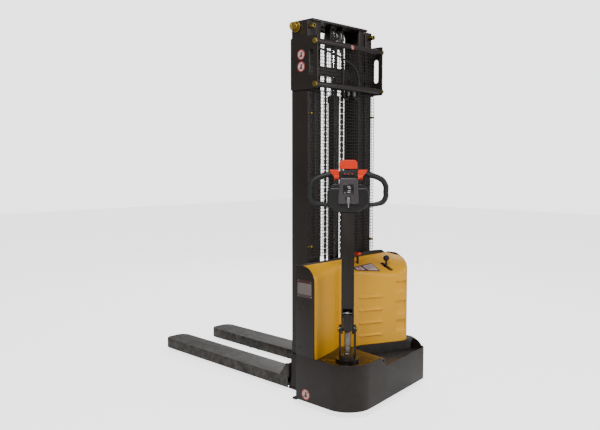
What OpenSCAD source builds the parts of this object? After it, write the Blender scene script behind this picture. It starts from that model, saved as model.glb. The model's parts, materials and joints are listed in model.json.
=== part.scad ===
// Electric walkie stacker with a two-stage lift mast, fixed load legs and a tiller.
// Modules are drawn in the mast's frame: X = 0 is the truck's centreline, Y = 0 lies
// inside the mast, +Y points along the forks, and Z = 0 is the floor.

/* [Chassis] */
// Width across the chassis side plates
chassis_w = 784; // [700:1:900]
// Distance from the mast datum to the rearmost point of the skirt
skirt_rear = 453; // [420:1:540]
// Distance from the mast datum to the front of the chassis
skirt_front = 75; // [70:1:90]
// Ground clearance under the skirt
skirt_z = 36; // [25:1:60]
// Height of the rim around the drive unit
rim_high = 275; // [265:1:320]
// Height of the rim around the lower deck
rim_low = 220; // [190:1:240]
// Plate thickness of the skirt and panels
plate_t = 6; // [4:0.5:8]
// Corner radius beside the tiller
corner_drive_r = 140; // [90:1:150]
// Corner radius beside the caster
corner_caster_r = 42; // [25:1:70]
// Height of the side panels
panel_h = 752; // [650:1:850]
// Depth of the side panels from front to rear
panel_depth = 130; // [110:1:150]

/* [Cover] */
// Wall thickness of the moulded cover
cover_t = 4; // [3:0.5:6]
// Number of raised ribs on the cover's rear face
rib_count = 4; // [2:1:6]
// Spacing of the raised ribs
rib_pitch = 72; // [50:1:80]

/* [Mast] */
// Width across the outer mast channels
mast_w = 536; // [500:1:600]
// Lowered height over the inner mast
mast_h = 2053; // [1900:1:2400]
// Depth of the outer channels
channel_d = 122; // [110:1:150]
// Web thickness of every channel
channel_web = 10; // [8:1:14]
// Flange thickness of every channel
channel_flange = 12; // [10:1:16]
// Flange width of the outer channels inside their web
channel_b = 46; // [40:1:56]
// Flange width of the inner channels inside their web
inner_b = 38; // [30:1:44]
// Travel of the inner mast
lift_stroke = 1450; // [1000:10:1500]
// Diameter of the lift cylinder barrel
barrel_d = 63; // [56:1:70]
// Diameter of the lift cylinder rod
rod_d = 40; // [32:1:45]
// Diameter of the mast's guide rollers, less their running clearance
roller_gap = 0.5; // [0.3:0.1:1]
// Pitch diameter of the chain wheels
sheave_d = 72; // [60:1:80]
// Distance of each lift chain from the centreline
chain_x = 30; // [26:1:36]
// Lowest edge of the slotted head plates
head_plate_z = 1675; // [1500:1:1750]
// Height of the slotted head plates
head_plate_h = 277; // [220:1:300]

/* [Forks] */
// Width over both forks
fork_spread = 566; // [540:1:690]
// Width of one fork
fork_w = 170; // [150:1:190]
// Length of the forks
fork_len = 1150; // [900:10:1220]
// Height of the lowered fork's top face
fork_top = 88; // [85:1:95]
// Depth of the fork's folded sides
fork_depth = 63; // [50:1:66]
// Diameter of the load rollers
load_roller_d = 74; // [70:1:75]
// Width of the load rollers
load_roller_w = 68; // [50:1:74]

/* [Wheels] */
// Diameter of the drive wheel
drive_d = 210; // [180:1:212]
// Width of the drive wheel
drive_w = 70; // [60:1:75]
// Diameter of the caster wheel
caster_d = 130; // [100:1:140]
// Width of the caster wheel
caster_w = 50; // [40:1:55]

/* [Tiller] */
// Sideways place of the steering axis
tiller_x = -262; // [-275:1:-150]
// Place of the steering axis behind the mast datum
tiller_back = 321; // [300:1:330]
// Angle to which the tiller is turned at rest
tiller_turn = -48; // [-75:1:75]
// Height of the tiller's tilt pivot
pivot_z = 430; // [410:1:460]
// Width of the tiller arm
arm_w = 64; // [56:1:70]
// Height of the control head's lower edge
head_z = 1035; // [950:1:1100]
// Width over the hand grips
grip_span = 410; // [380:1:460]
// Diameter of the hand grips
grip_d = 28; // [24:1:32]

/* [Clearances] */
// Radial running clearance of pins and shafts
run_fit = 0.05; // [0.02:0.01:0.1]
// Gap between faces that move past each other
slide_gap = 1; // [0.5:0.1:2]

/* [Hidden] */
$fn = 64;

// mast
half_w = chassis_w / 2;
mast_x = mast_w / 2;
channel_rear = -42;
channel_front = channel_rear + channel_d;
channel_mid = (channel_rear + channel_front) / 2;
channel_z = skirt_z;
outer_top = mast_h - 16;
outer_tip = mast_x - channel_web - channel_b;
inner_web_x = outer_tip - slide_gap - 3;
inner_tip = inner_web_x - channel_web - inner_b;
inner_d = channel_d - 12;
inner_z = 55;
inner_top = mast_h - 13;
sheave_y = 13;
sheave_z = mast_h - 68;
rear_leg_y = sheave_y - sheave_d / 2;
front_leg_y = sheave_y + sheave_d / 2;
chain_w = 18;
chain_t = 10;
beam_z = head_plate_z + 77;
beam_h = 53;
beam_y = channel_rear - 8;
anchor_z = head_plate_z + 15;
anchor_bolt = 12;
barrel_z = channel_z;
barrel_top = anchor_z - 30;
barrel_bore = barrel_d - 10;
tie_y = -105;
tie_d = 30;
tie_z = [head_plate_z + 23, head_plate_z + head_plate_h - 32];
plate_rear = -118;
plate_t_head = 8;
guard_y = channel_rear - 20;
guard_wire = 4;
guard_w = mast_w + 12;
guard_z = panel_h + 24;
guard_top = head_plate_z + 234;
guard_pitch = 52.5;
guard_bolt_z = [guard_z + 60, head_plate_z - 125];

// carriage and forks
carriage_z = fork_top + 12;
carriage_top = carriage_z + 400;
carriage_x = inner_tip - 16;
carriage_t = 12;
carriage_front = channel_front + 8;
carriage_roller_z = [carriage_z + 70, carriage_z + 370];
fork_x = (fork_spread - fork_w) / 2;
fork_heel = carriage_front + 12;
fork_tip = 167 + fork_len;
fork_t = 8;
fork_side_t = 6;
fork_nose_r = 60;
leg_w = 104;
leg_wall = 8;
leg_h = 50;
leg_z = 25;
leg_y = channel_front + 15;
roller_rear_y = fork_tip - 470;
roller_step = load_roller_d + 10;
leg_end = roller_rear_y + roller_step + load_roller_d / 2 + 14;
load_axle_d = 20;

// chassis
rear_y = -skirt_rear;
deck_z = rim_high - 11;
well_z = rim_low - 12;
drive_corner = [-half_w + corner_drive_r, rear_y + corner_drive_r];
caster_corner = [half_w - corner_caster_r, rear_y + 84 + corner_caster_r];
tiller_y = -tiller_back;
cover_x = half_w - plate_t;
cover_z = deck_z;
cover_front = -skirt_front - 10;
caster_pos = [half_w - 130, rear_y + 191];
caster_trail = 30;
king_d = 50;

// tiller
ring_d = 122;
ear_gap = arm_w + 2 * slide_gap;
ear_t = 11;
pivot_d = 16;
spring_y = -30;
spring_low = deck_z + 46;
spring_high = pivot_z + 90;
spring_tube_d = 28;
spring_rod_d = 12;
spring_tube_h = 102;
spring_pin = 8;
head_h = 140;
strip_z = head_z + head_h + 15;
strip_h = 60;
head_y = 36;
strip_w = 90;
button_z = strip_z + strip_h;
rocker_z = strip_z + 41;
button_stem = 20;
button_travel = 5;
throttle_y = -24;
throttle_z = head_z + 180;
throttle_pin = 10;

datum_y = (skirt_rear - fork_tip) / 2;

// helpers
module place() translate([0, datum_y, 0]) children();
module both_sides() { children(); mirror([1, 0, 0]) children(); }
module at_tiller() translate([tiller_x, tiller_y, 0]) rotate([0, 0, tiller_turn]) children();
module x_rod(x0, x1, y, z, d) translate([x0, y, z]) rotate([0, 90, 0]) cylinder(d = d, h = x1 - x0);
module y_rod(x, y0, y1, z, d) translate([x, y0, z]) rotate([-90, 0, 0]) cylinder(d = d, h = y1 - y0);
module box(x, y, z) translate([x[0], y[0], z[0]]) cube([x[1] - x[0], y[1] - y[0], z[1] - z[0]]);
// a plate drawn in the YZ plane between two values of X
module x_plate(x0, x1) translate([x0, 0, 0]) rotate([90, 0, 90]) linear_extrude(x1 - x0) children();
// a plate drawn in the XZ plane between two values of Y
module y_plate(y0, y1) translate([0, y1, 0]) rotate([90, 0, 0]) linear_extrude(y1 - y0) children();
module rounded(size, r) translate([r, r]) offset(r = r) square(size - [2 * r, 2 * r]);

function unit(v) = v / norm(v);
function tangent(p, i) = unit(p[min(i + 1, len(p) - 1)] - p[max(i - 1, 0)]);
function ring(p, t, r, side, n) =
    let (u = unit(cross(t, side)), w = unit(cross(u, t)))
    [for (k = [0:n - 1]) p + r * (cos(360 * k / n) * u + sin(360 * k / n) * w)];
function curve(a, b, c, d, t) = 0.5 * (2 * b + (c - a) * t + (2 * a - 5 * b + 4 * c - d) * t * t
    + (3 * b - a - 3 * c + d) * t * t * t);
function smooth(p, s) = concat(
    [for (i = [0:len(p) - 2]) for (k = [0:s - 1])
        curve(p[max(i - 1, 0)], p[i], p[i + 1], p[min(i + 2, len(p) - 1)], k / s)],
    [p[len(p) - 1]]);

// a round bar of n sides swept along a path that lies nearly at right angles to side
module sweep(path, d, side, n = 10) {
    m = len(path);
    points = [for (i = [0:m - 1]) each ring(path[i], tangent(path, i), d / 2, side, n)];
    faces = concat(
        [[for (k = [n - 1:-1:0]) k]],
        [for (i = [0:m - 2]) for (k = [0:n - 1])
            [i * n + k, i * n + (k + 1) % n, (i + 1) * n + (k + 1) % n, (i + 1) * n + k]],
        [[for (k = [0:n - 1]) (m - 1) * n + k]]);
    polyhedron(points, faces);
}

// ---- chassis ----
module chassis_plan(inset = 0) hull() {
    translate(drive_corner) circle(r = corner_drive_r - inset, $fn = 96);
    translate(caster_corner) circle(r = corner_caster_r - inset, $fn = 48);
    translate([-half_w + inset, -skirt_front - 20]) square([chassis_w - 2 * inset, 20]);
}

module chassis_skirt() color("#2a231d") difference() {
    translate([0, 0, skirt_z]) linear_extrude(rim_high - skirt_z) difference() {
        chassis_plan();
        chassis_plan(plate_t);
        translate([-half_w + plate_t, -skirt_front - 30]) square([chassis_w - 2 * plate_t, 60]);
    }
    // the rim steps down behind the lower deck
    y_plate(rear_y - 10, rear_y + 118) polygon([[-130, rim_high + 1], [-128, rim_high],
        [-72, rim_low], [half_w + 1, rim_low], [half_w + 1, rim_high + 1]]);
    // and rises again along the caster side
    x_plate(0, half_w + 1) polygon([[rear_y + 117, rim_low], [rear_y + 142, rim_low + 24],
        [rear_y + 175, rim_low + 38], [-skirt_front + 1, rim_low + 42],
        [-skirt_front + 1, rim_high + 1], [rear_y + 117, rim_high + 1]]);
}

// plan of the lower deck behind the cover
module well_plan() intersection() {
    chassis_plan(plate_t);
    polygon([[-90, rear_y], [-60, -185], [18, -186], [300, -316], [half_w, -270], [half_w, rear_y]]);
}

module upper_deck() difference() {
    translate([0, 0, deck_z - plate_t]) linear_extrude(plate_t) difference() {
        chassis_plan(plate_t);
        well_plan();
        translate([-half_w, -skirt_front]) square([chassis_w, 30]);
    }
    translate([tiller_x, tiller_y, 0]) cylinder(d = king_d + 2 * run_fit, h = deck_z + 1);
}

module deck_well() {
    // floor of the lower deck, carried on under the cover as the caster's mounting plate
    translate([0, 0, well_z - plate_t]) linear_extrude(plate_t) union() {
        well_plan();
        translate([160, caster_pos[1] - 40]) square([half_w - plate_t - 160, 160]);
    }
    // upright step between the two decks
    translate([0, 0, well_z]) linear_extrude(deck_z - plate_t - well_z) intersection() {
        chassis_plan(plate_t);
        difference() {
            offset(delta = plate_t / 2) polygon([[-90, rear_y - 9], [-60, -185], [18, -186], [300, -316],
                [half_w, -270], [half_w + 9, rear_y - 9]]);
            offset(delta = -plate_t / 2) polygon([[-90, rear_y - 9], [-60, -185], [18, -186], [300, -316],
                [half_w, -270], [half_w + 9, rear_y - 9]]);
            translate([half_w - 60, rear_y - 10]) square([90, 160]);
        }
    }
}

module deck_plates() color("#15110e") {
    upper_deck();
    deck_well();
}

module mast_foot() color("#231d1a") {
    box([-half_w + plate_t, half_w - plate_t], [-skirt_front + plate_t, channel_rear],
        [skirt_z - 12, skirt_z]);
    box([-mast_x - 12, mast_x + 12], [channel_rear, leg_y], [skirt_z - 12, skirt_z]);
    both_sides() box([mast_x, mast_x + 8], [-skirt_front + plate_t, channel_front], [skirt_z, skirt_z + 190]);
}

module side_panels() color("#2a231d") both_sides()
    x_plate(half_w - plate_t, half_w) {
        translate([-skirt_front - panel_depth, rim_high]) square([panel_depth, panel_h - rim_high - 60]);
        intersection() {
            translate([-skirt_front - panel_depth, panel_h - 61]) square([panel_depth, 61]);
            translate([-skirt_front - panel_depth + 80, panel_h - 80]) {
                circle(r = 80, $fn = 96);
                translate([0, -20]) square([panel_depth, 100]);
            }
        }
    }

module rear_bulkhead() color("#1d1815") y_plate(-skirt_front, -skirt_front + plate_t)
    polygon([[-half_w + plate_t, skirt_z], [half_w - plate_t, skirt_z],
        [half_w - plate_t, panel_h - 10], [half_w - 52, panel_h + 14], [half_w - 158, panel_h + 20],
        [half_w - 286, panel_h + 15], [-60, panel_h + 4], [-126, panel_h], [-half_w + plate_t, panel_h]]);

// ---- cover ----
cover_points = [[-cover_x, cover_front], [-cover_x, -206], [-272, -173], [-158, -143], [-84, -113],
    [-38, -174], [18, -176], [252, -283], [300, -292], [340, -256], [cover_x, -196], [cover_x, cover_front]];
// stations across the cover: X, height at its front, then depth and height at its rear
cover_stations = [[-cover_x, panel_h - 8, -210, panel_h - 54], [0, panel_h - 11, -190, panel_h - 76],
    [225, panel_h - 3, -275, panel_h - 95], [cover_x, panel_h - 1, -330, panel_h - 21]];

module cover_plan(inset = 0) offset(delta = -inset) offset(r = 16) offset(delta = -16) polygon(cover_points);
module cover_roof(drop = 0) for (i = [1:len(cover_stations) - 1]) hull()
    for (e = [cover_stations[i - 1], cover_stations[i]]) {
        box([e[0] - 0.1, e[0] + 0.1], [cover_front - 1, cover_front + 20], [0, e[1] - drop]);
        translate([e[0], e[2], 0]) cylinder(d = 0.2, h = e[3] - drop, $fn = 4);
    }
module cover_solid(inset = 0) intersection() {
    translate([0, 0, cover_z]) linear_extrude(panel_h) union() {
        cover_plan(inset);
        // the cover is open towards the bulkhead
        if (inset > 0) translate([-cover_x + inset, cover_front - 30]) square([2 * (cover_x - inset), 31]);
    }
    cover_roof(inset);
}
lever_pos = [220, -200];
stop_pos = [62, -118];
stop_stem = 14;
module drive_cover() color("#e6aa14") {
    difference() {
        cover_solid();
        translate([0, 0, -1]) cover_solid(cover_t);
        box([lever_pos[0] - 9, lever_pos[0] + 9], [lever_pos[1] - 42, lever_pos[1] + 36], [600, 900]);
        translate([stop_pos[0], stop_pos[1], 600]) cylinder(d = stop_stem + 2 * run_fit, h = 300);
    }
    for (i = [0:rib_count - 1]) translate([70, -200.5, 320 + i * rib_pitch])
        rotate([0, 0, atan2(-128, 282)]) rotate([0, 90, 0])
            cylinder(d = 9, h = 140, center = true, $fn = 16);
}

// the dash panel lies along the ridge of the cover's top
dash_slope = 28.97;
dash_roll = 5.35;
module dash_panel() color("#1a1614") translate([70, -172, panel_h - 52.1]) rotate([dash_slope, -dash_roll, 0])
    linear_extrude(3) offset(r = 6) offset(delta = -6)
        polygon([[-84, 10], [-84, 36], [86, 36], [76, -52]]);

module valve_lever() color("#191614") {
    translate([lever_pos[0], lever_pos[1], lever_z + 8]) cylinder(d = 9, h = 108);
    translate([lever_pos[0], lever_pos[1], lever_z + 119]) sphere(d = 36, $fn = 48);
    difference() {
        x_rod(lever_pos[0] - 14, lever_pos[0] + 14, lever_pos[1], lever_z, 22);
        x_rod(lever_pos[0] - 15, lever_pos[0] + 15, lever_pos[1], lever_z, lever_pin + 2 * run_fit);
    }
}

module emergency_stop() color("#d8301c") translate([stop_pos[0], stop_pos[1], 0]) {
    translate([0, 0, panel_h - 40]) cylinder(d = stop_stem, h = 60);
    translate([0, 0, panel_h + 14]) cylinder(d = 38, h = 16);
}

module battery() color("#3b3f45") {
    box([182, 350], [-222, -92], [deck_z, deck_z + 230]);
    for (x = [210, 322]) translate([x, -160, deck_z + 230]) cylinder(d = 22, h = 18);
}

lever_z = 620;
lever_pin = 10;
module pump_unit() color("#8d9094") {
    translate([-330, -136, deck_z]) cylinder(d = 84, h = 190);
    box([-372, -288], [-172, -90], [deck_z + 190, deck_z + 226]);
    box([-280, -180], [-136, -90], [deck_z, deck_z + 240]);
    x_rod(-288, -280, -125, deck_z + 208, 30);
    // lowering valve with the lever's pivot pin
    translate([lever_pos[0], 0, 0]) both_sides()
        box([14.3, 20], [lever_pos[1] - 15, -skirt_front - 0.3], [lever_z - 15, lever_z + 15]);
    box([lever_pos[0] - 20, lever_pos[0] + 20], [-120, -skirt_front - 0.3], [lever_z - 30, lever_z + 15]);
    x_rod(lever_pos[0] - 20, lever_pos[0] + 20, lever_pos[1], lever_z, lever_pin);
}

module motor_controller() color("#74787c") {
    box([10, 150], [-104, -84], [deck_z + 60, deck_z + 260]);
    for (i = [0:6]) box([16 + 20 * i, 22 + 20 * i], [-84, -skirt_front], [deck_z + 60, deck_z + 260]);
}

// ---- load legs ----
module leg() color("#2a231d") difference() {
    box([fork_x - leg_w / 2, fork_x + leg_w / 2], [leg_y, leg_end], [leg_z, leg_z + leg_h]);
    box([fork_x - leg_w / 2 + leg_wall, fork_x + leg_w / 2 - leg_wall],
        [leg_y - 1, roller_rear_y - load_roller_d / 2 - 22], [leg_z + 6, leg_z + leg_h - 6]);
    box([fork_x - leg_w / 2 + leg_wall, fork_x + leg_w / 2 - leg_wall],
        [roller_rear_y - load_roller_d / 2 - 8, leg_end + 1], [leg_z - 1, leg_z + leg_h + 1]);
    for (i = [0, 1]) x_rod(fork_x - leg_w, fork_x + leg_w, roller_rear_y + i * roller_step,
        load_roller_d / 2, load_axle_d + 0.02);
}
module leg_right() leg();
module leg_left() mirror([1, 0, 0]) leg();
module load_axles() color("#9a9c9e") both_sides() for (i = [0, 1])
    x_rod(fork_x - leg_w / 2 - 3, fork_x + leg_w / 2 + 3, roller_rear_y + i * roller_step,
        load_roller_d / 2, load_axle_d);
module load_roller(i) color("#c8b98c") difference() {
    x_rod(fork_x - load_roller_w / 2, fork_x + load_roller_w / 2, roller_rear_y + i * roller_step,
        load_roller_d / 2, load_roller_d);
    x_rod(fork_x - leg_w, fork_x + leg_w, roller_rear_y + i * roller_step,
        load_roller_d / 2, load_axle_d + 2 * run_fit);
}
module load_roller_right_rear() load_roller(0);
module load_roller_right_front() load_roller(1);
module load_roller_left_rear() mirror([1, 0, 0]) load_roller(0);
module load_roller_left_front() mirror([1, 0, 0]) load_roller(1);

// ---- outer mast ----
module channel_plan(web_x, flange_b, rear, depth) difference() {
    translate([web_x - flange_b - channel_web, rear]) square([flange_b + channel_web, depth]);
    translate([web_x - flange_b - channel_web - 1, rear + channel_flange])
        square([flange_b + 1, depth - 2 * channel_flange]);
}
module outer_channel() color("#2b221e") translate([0, 0, channel_z])
    linear_extrude(outer_top - channel_z) channel_plan(mast_x, channel_b, channel_rear, channel_d);
module outer_mast_right() outer_channel();
module outer_mast_left() mirror([1, 0, 0]) outer_channel();

module outer_crossbeams() color("#3a302b") {
    box([-mast_x, mast_x], [beam_y, channel_rear], [beam_z, beam_z + beam_h]);
    box([-mast_x, mast_x], [beam_y, channel_rear], [panel_h - 150, panel_h - 70]);
    box([-mast_x, mast_x], [beam_y, channel_rear], [channel_z, channel_z + 90]);
    // bracket that holds the fixed ends of the lift chains
    box([-50, 50], [beam_y, channel_rear], [anchor_z, beam_z]);
    difference() {
        box([-50, 50], [channel_rear, sheave_y - rod_d / 2 - 4], [anchor_z, anchor_z + 12]);
        both_sides() translate([chain_x, rear_leg_y, anchor_z - 1]) cylinder(d = anchor_bolt, h = 14);
    }
}

module head_plates() color("#2b221e") both_sides()
    x_plate(mast_x, mast_x + plate_t_head) difference() {
        translate([plate_rear, head_plate_z]) rounded([channel_front - plate_rear, head_plate_h], 8);
        translate([-91, head_plate_z + 72]) rounded([33, 134], 15);
        for (z = tie_z) translate([tie_y, z]) circle(d = 14);
    }

module tie_tubes() color("#2b2420") for (z = tie_z) difference() {
    x_rod(-mast_x, mast_x, tie_y, z, tie_d);
    x_rod(-mast_x - 1, mast_x + 1, tie_y, z, 14);
}

module zinc_fasteners() color("#c39a3a") {
    // bolts through the head plates into the tie tubes
    both_sides() for (z = tie_z) {
        x_rod(mast_x - 40, mast_x + plate_t_head, tie_y, z, 14 - 2 * run_fit);
        x_rod(mast_x + plate_t_head, mast_x + plate_t_head + 10, tie_y, z, 30);
    }
    // sleeve bolts at the top of the mast
    both_sides() difference() {
        y_rod(mast_x - 18, channel_rear - 30, channel_rear, outer_top - 30, 26);
        y_rod(mast_x - 18, channel_rear - 31, channel_rear - 14, outer_top - 30, 12);
    }
    // fixings of the mesh guard
    both_sides() for (z = guard_bolt_z) y_rod(mast_x - 6, guard_y - 6, channel_rear, z, 12);
}

module lifting_eyes() color("#b8962e") both_sides() {
    x_rod(mast_x, mast_x + 8, 41, outer_top - 27, 60);
    difference() {
        translate([mast_x + 28, 0, outer_top - 27]) rotate([90, 0, 0]) translate([0, 0, -47])
            cylinder(d = 46, h = 12);
        translate([mast_x + 28, 0, outer_top - 27]) rotate([90, 0, 0]) translate([0, 0, -48])
            cylinder(d = 24, h = 14);
    }
}

// welded wire panel, drawn as a coarse flat grille
module mesh_guard() color("#5c5650") y_plate(guard_y, guard_y + guard_wire) difference() {
    translate([-guard_w / 2, guard_z]) square([guard_w, guard_top - guard_z]);
    columns = floor((guard_w - guard_wire) / guard_pitch);
    rows = floor((guard_top - guard_z - guard_wire) / guard_pitch);
    step_x = (guard_w - guard_wire) / columns;
    step_z = (guard_top - guard_z - guard_wire) / rows;
    for (i = [0:columns - 1]) for (j = [0:rows - 1])
        translate([-guard_w / 2 + guard_wire + i * step_x, guard_z + guard_wire + j * step_z])
            square([step_x - guard_wire, step_z - guard_wire]);
    // narrowed to pass between the head plates
    for (s = [-1, 1]) translate([s * (mast_x + 9) - 10, head_plate_z - 4]) square([20, guard_top]);
    for (s = [-1, 1]) for (z = guard_bolt_z) translate([s * (mast_x - 6), z]) circle(d = 12);
}

module cylinder_barrel() color("#1f1b19") difference() {
    union() {
        translate([0, sheave_y, barrel_z]) cylinder(d = barrel_d, h = barrel_top - barrel_z - 40);
        translate([0, sheave_y, barrel_top - 40]) cylinder(d = barrel_d + 4, h = 40);
    }
    translate([0, sheave_y, barrel_z + 30]) cylinder(d = barrel_bore, h = barrel_top - barrel_z - 70);
    translate([0, sheave_y, barrel_top - 41]) cylinder(d = rod_d + 2 * run_fit, h = 42);
}

hose_d = 11;
hose_y = [-70, -83];
// each hose leaves the left head plate, hangs in a loop below the lower tie tube and
// rises into the junction block
hose_paths = [
    [[-267, 1925], [-170, 1935], [-60, 1915], [-22, 1860], [-14, 1790], [-16, 1700], [-4, 1644],
        [22, 1642], [32, 1684]],
    [[-267, 1895], [-150, 1880], [-50, 1860], [60, 1820], [100, 1760], [104, 1690], [92, 1648],
        [70, 1646], [62, 1684]]];
module hydraulic_hoses() color("#141210") translate([0, 0, head_plate_z - 1675]) {
    for (i = [0, 1])
        sweep(smooth([for (p = hose_paths[i]) [p[0], hose_y[i], p[1]]], 3), hose_d, [0, 1, 0], 8);
    box([10, 84], [-89.9, -64], [1684, 1712]);
}

module side_plates() color("#6d635e") {
    // rating plate
    x_plate(-half_w - 1.5, -half_w) translate([-191, 589]) rounded([104, 91], 4);
    // round pictogram plates
    for (z = [head_plate_z + 121, head_plate_z + 184]) x_rod(-mast_x - plate_t_head - 1,
        -mast_x - plate_t_head, 0, z, 54);
    x_rod(-half_w - 1, -half_w, -148, 75, 58);
}

module wear_pads() color("#cfcabf") both_sides()
    box([inner_web_x + roller_gap, mast_x - channel_web], [channel_rear + channel_flange,
        channel_front - channel_flange], [outer_top - 60, outer_top - 15]);

// ---- inner mast ----
module inner_channel() color("#332924") translate([0, 0, inner_z])
    linear_extrude(inner_top - inner_z) channel_plan(inner_web_x, inner_b, channel_mid - inner_d / 2, inner_d);
module inner_mast_right() inner_channel();
module inner_mast_left() mirror([1, 0, 0]) inner_channel();

module inner_crossbeams() color("#4b403a") {
    box([-230, 230], [channel_mid - inner_d / 2 - 5, channel_mid + inner_d / 2], [inner_top, mast_h]);
    box([-inner_tip, inner_tip], [channel_mid + inner_d / 2 - 14, channel_mid + inner_d / 2],
        [inner_top - 27, inner_top]);
    box([-inner_tip, inner_tip], [channel_mid - inner_d / 2, channel_mid - inner_d / 2 + 10],
        [inner_z, inner_z + 80]);
}

module cylinder_rod() color("#c9ccce") {
    translate([0, sheave_y, barrel_z + 60]) cylinder(d = barrel_bore - 2 * run_fit, h = 50);
    translate([0, sheave_y, barrel_z + 60]) cylinder(d = rod_d, h = sheave_z - 60 - barrel_z - 60);
}

module sheave_bracket() color("#2b2420") {
    bracket_x = chain_x + chain_w / 2 + 6;
    box([-bracket_x - 8, bracket_x + 8], [sheave_y - 24, sheave_y + 24], [sheave_z - 60, sheave_z - 46]);
    both_sides() box([bracket_x, bracket_x + 8], [sheave_y - 22, sheave_y + 22], [sheave_z - 46, inner_top]);
    x_rod(-bracket_x, bracket_x, sheave_y, sheave_z, 16);
}

module chain_sheaves() color("#8b8d90") both_sides() difference() {
    union() {
        x_rod(chain_x - 13, chain_x + 13, sheave_y, sheave_z, sheave_d - chain_t);
        for (x = [chain_x - 13, chain_x + 10]) x_rod(x, x + 3, sheave_y, sheave_z, sheave_d + 8);
    }
    x_rod(0, chain_x + 20, sheave_y, sheave_z, 16 + 2 * run_fit);
}

module lift_chains() color("#5f5b57") both_sides() translate([chain_x - chain_w / 2, 0, 0]) {
    box([0, chain_w], [rear_leg_y - chain_t / 2 + 0.3, rear_leg_y + chain_t / 2 - 0.3],
        [anchor_z + 12.3, sheave_z]);
    box([0, chain_w], [front_leg_y - chain_t / 2 + 0.3, front_leg_y + chain_t / 2 - 0.3],
        [carriage_top + 0.3, sheave_z]);
    translate([0, sheave_y, sheave_z]) rotate([0, 90, 0]) difference() {
        cylinder(d = sheave_d + chain_t - 0.6, h = chain_w);
        translate([0, 0, -1]) cylinder(d = sheave_d - chain_t + 0.6, h = chain_w + 2);
        translate([0, -sheave_d, -1]) cube([sheave_d, 2 * sheave_d, chain_w + 2]);
    }
}

module inner_rollers() color("#9a9da0") both_sides() difference() {
    x_rod(inner_web_x + 3, mast_x - channel_web - 1, channel_mid, inner_z + 60,
        channel_d - 2 * channel_flange - 2 * roller_gap);
    x_rod(inner_web_x, mast_x, channel_mid, inner_z + 60, 24);
}

// ---- carriage ----
module carriage_frame() color("#2b231f") {
    both_sides() box([carriage_x - carriage_t, carriage_x], [channel_mid - inner_d / 2 + 14, carriage_front],
        [carriage_z, carriage_top]);
    box([-carriage_x, carriage_x], [front_leg_y - 1, front_leg_y + chain_t / 2 + 8],
        [carriage_top - 16, carriage_top]);
    box([-carriage_x, carriage_x], [carriage_front, fork_heel], [carriage_top - 110, carriage_top]);
    box([-fork_spread / 2, fork_spread / 2], [carriage_front, fork_heel], [fork_top, fork_top + 78]);
    both_sides() for (z = carriage_roller_z) x_rod(carriage_x, inner_tip + inner_b - 2, channel_mid, z, 24);
}
module carriage_roller(z) color("#9a9da0") both_sides() difference() {
    x_rod(inner_tip - 6, inner_web_x - channel_web - 2, channel_mid, z,
        inner_d - 2 * channel_flange - 2 * roller_gap);
    x_rod(inner_tip - 20, inner_web_x, channel_mid, z, 24 + 2 * run_fit);
}
module carriage_rollers_low() carriage_roller(carriage_roller_z[0]);
module carriage_rollers_high() carriage_roller(carriage_roller_z[1]);

module fork_plan(inset = 0) {
    translate([fork_x - fork_w / 2 + inset, fork_heel]) square([fork_w - 2 * inset, fork_tip - fork_heel - fork_nose_r]);
    for (s = [-1, 1]) translate([fork_x + s * (fork_w / 2 - fork_nose_r), fork_tip - fork_nose_r])
        circle(r = fork_nose_r - inset);
    translate([fork_x - fork_w / 2 + fork_nose_r, fork_tip - fork_nose_r])
        square([fork_w - 2 * fork_nose_r, fork_nose_r - inset]);
}
module fork() color("#352c28") {
    translate([0, 0, fork_top - fork_t]) linear_extrude(fork_t) fork_plan();
    translate([0, 0, fork_top - fork_depth]) linear_extrude(fork_depth - fork_t) difference() {
        fork_plan();
        fork_plan(fork_side_t);
        translate([fork_x - fork_w / 2 + fork_side_t, fork_heel - 1]) square([fork_w - 2 * fork_side_t, 60]);
    }
    // heel gussets that carry the fork on the carriage
    for (s = [-1, 1]) x_plate(fork_x + s * (fork_w / 2 - 4) - 4, fork_x + s * (fork_w / 2 - 4) + 4)
        polygon([[fork_heel, fork_top], [fork_heel, fork_top + 77], [fork_heel + 14, fork_top + 77],
            [fork_heel + 66, fork_top]]);
}
module fork_right() fork();
module fork_left() mirror([1, 0, 0]) fork();

// ---- drive unit and caster ----
module drive_yoke() color("#6f7276") at_tiller() {
    cheek_x = drive_w / 2 + 3;
    both_sides() box([cheek_x, cheek_x + 10], [-28, 28], [drive_d / 2 - 30, drive_d + 14]);
    box([-cheek_x - 10, cheek_x + 10], [-40, 40], [drive_d + 14, deck_z - plate_t - slide_gap]);
    translate([0, 0, deck_z - plate_t - slide_gap]) cylinder(d = king_d, h = plate_t + 2 * slide_gap);
    x_rod(-cheek_x, cheek_x, 0, drive_d / 2, 30);
}
module drive_hub() color("#7d8084") at_tiller() difference() {
    union() {
        x_rod(-drive_w / 2 + 4, drive_w / 2 - 4, 0, drive_d / 2, drive_d - 40);
        x_rod(-drive_w / 2, drive_w / 2, 0, drive_d / 2, 70);
    }
    x_rod(-drive_w, drive_w, 0, drive_d / 2, 30 + 2 * run_fit);
}
module drive_tyre() color("#b8472a") at_tiller() difference() {
    x_rod(-drive_w / 2, drive_w / 2, 0, drive_d / 2, drive_d);
    x_rod(-drive_w, drive_w, 0, drive_d / 2, drive_d - 40);
}
module caster_fork() color("#85888b") translate([caster_pos[0], caster_pos[1], 0]) {
    cheek_x = caster_w / 2 + 3;
    axle_y = -caster_trail;
    both_sides() x_plate(cheek_x, cheek_x + 6) hull() {
        translate([axle_y, caster_d / 2]) circle(d = 40);
        translate([-32, well_z - 46]) square([64, 10]);
    }
    box([-cheek_x - 6, cheek_x + 6], [-32, 32], [well_z - 36, well_z - 28]);
    translate([0, 0, well_z - 28]) cylinder(d = 64, h = 28 - plate_t - 0.3);
    x_rod(-cheek_x, cheek_x, axle_y, caster_d / 2, 15);
}
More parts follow.
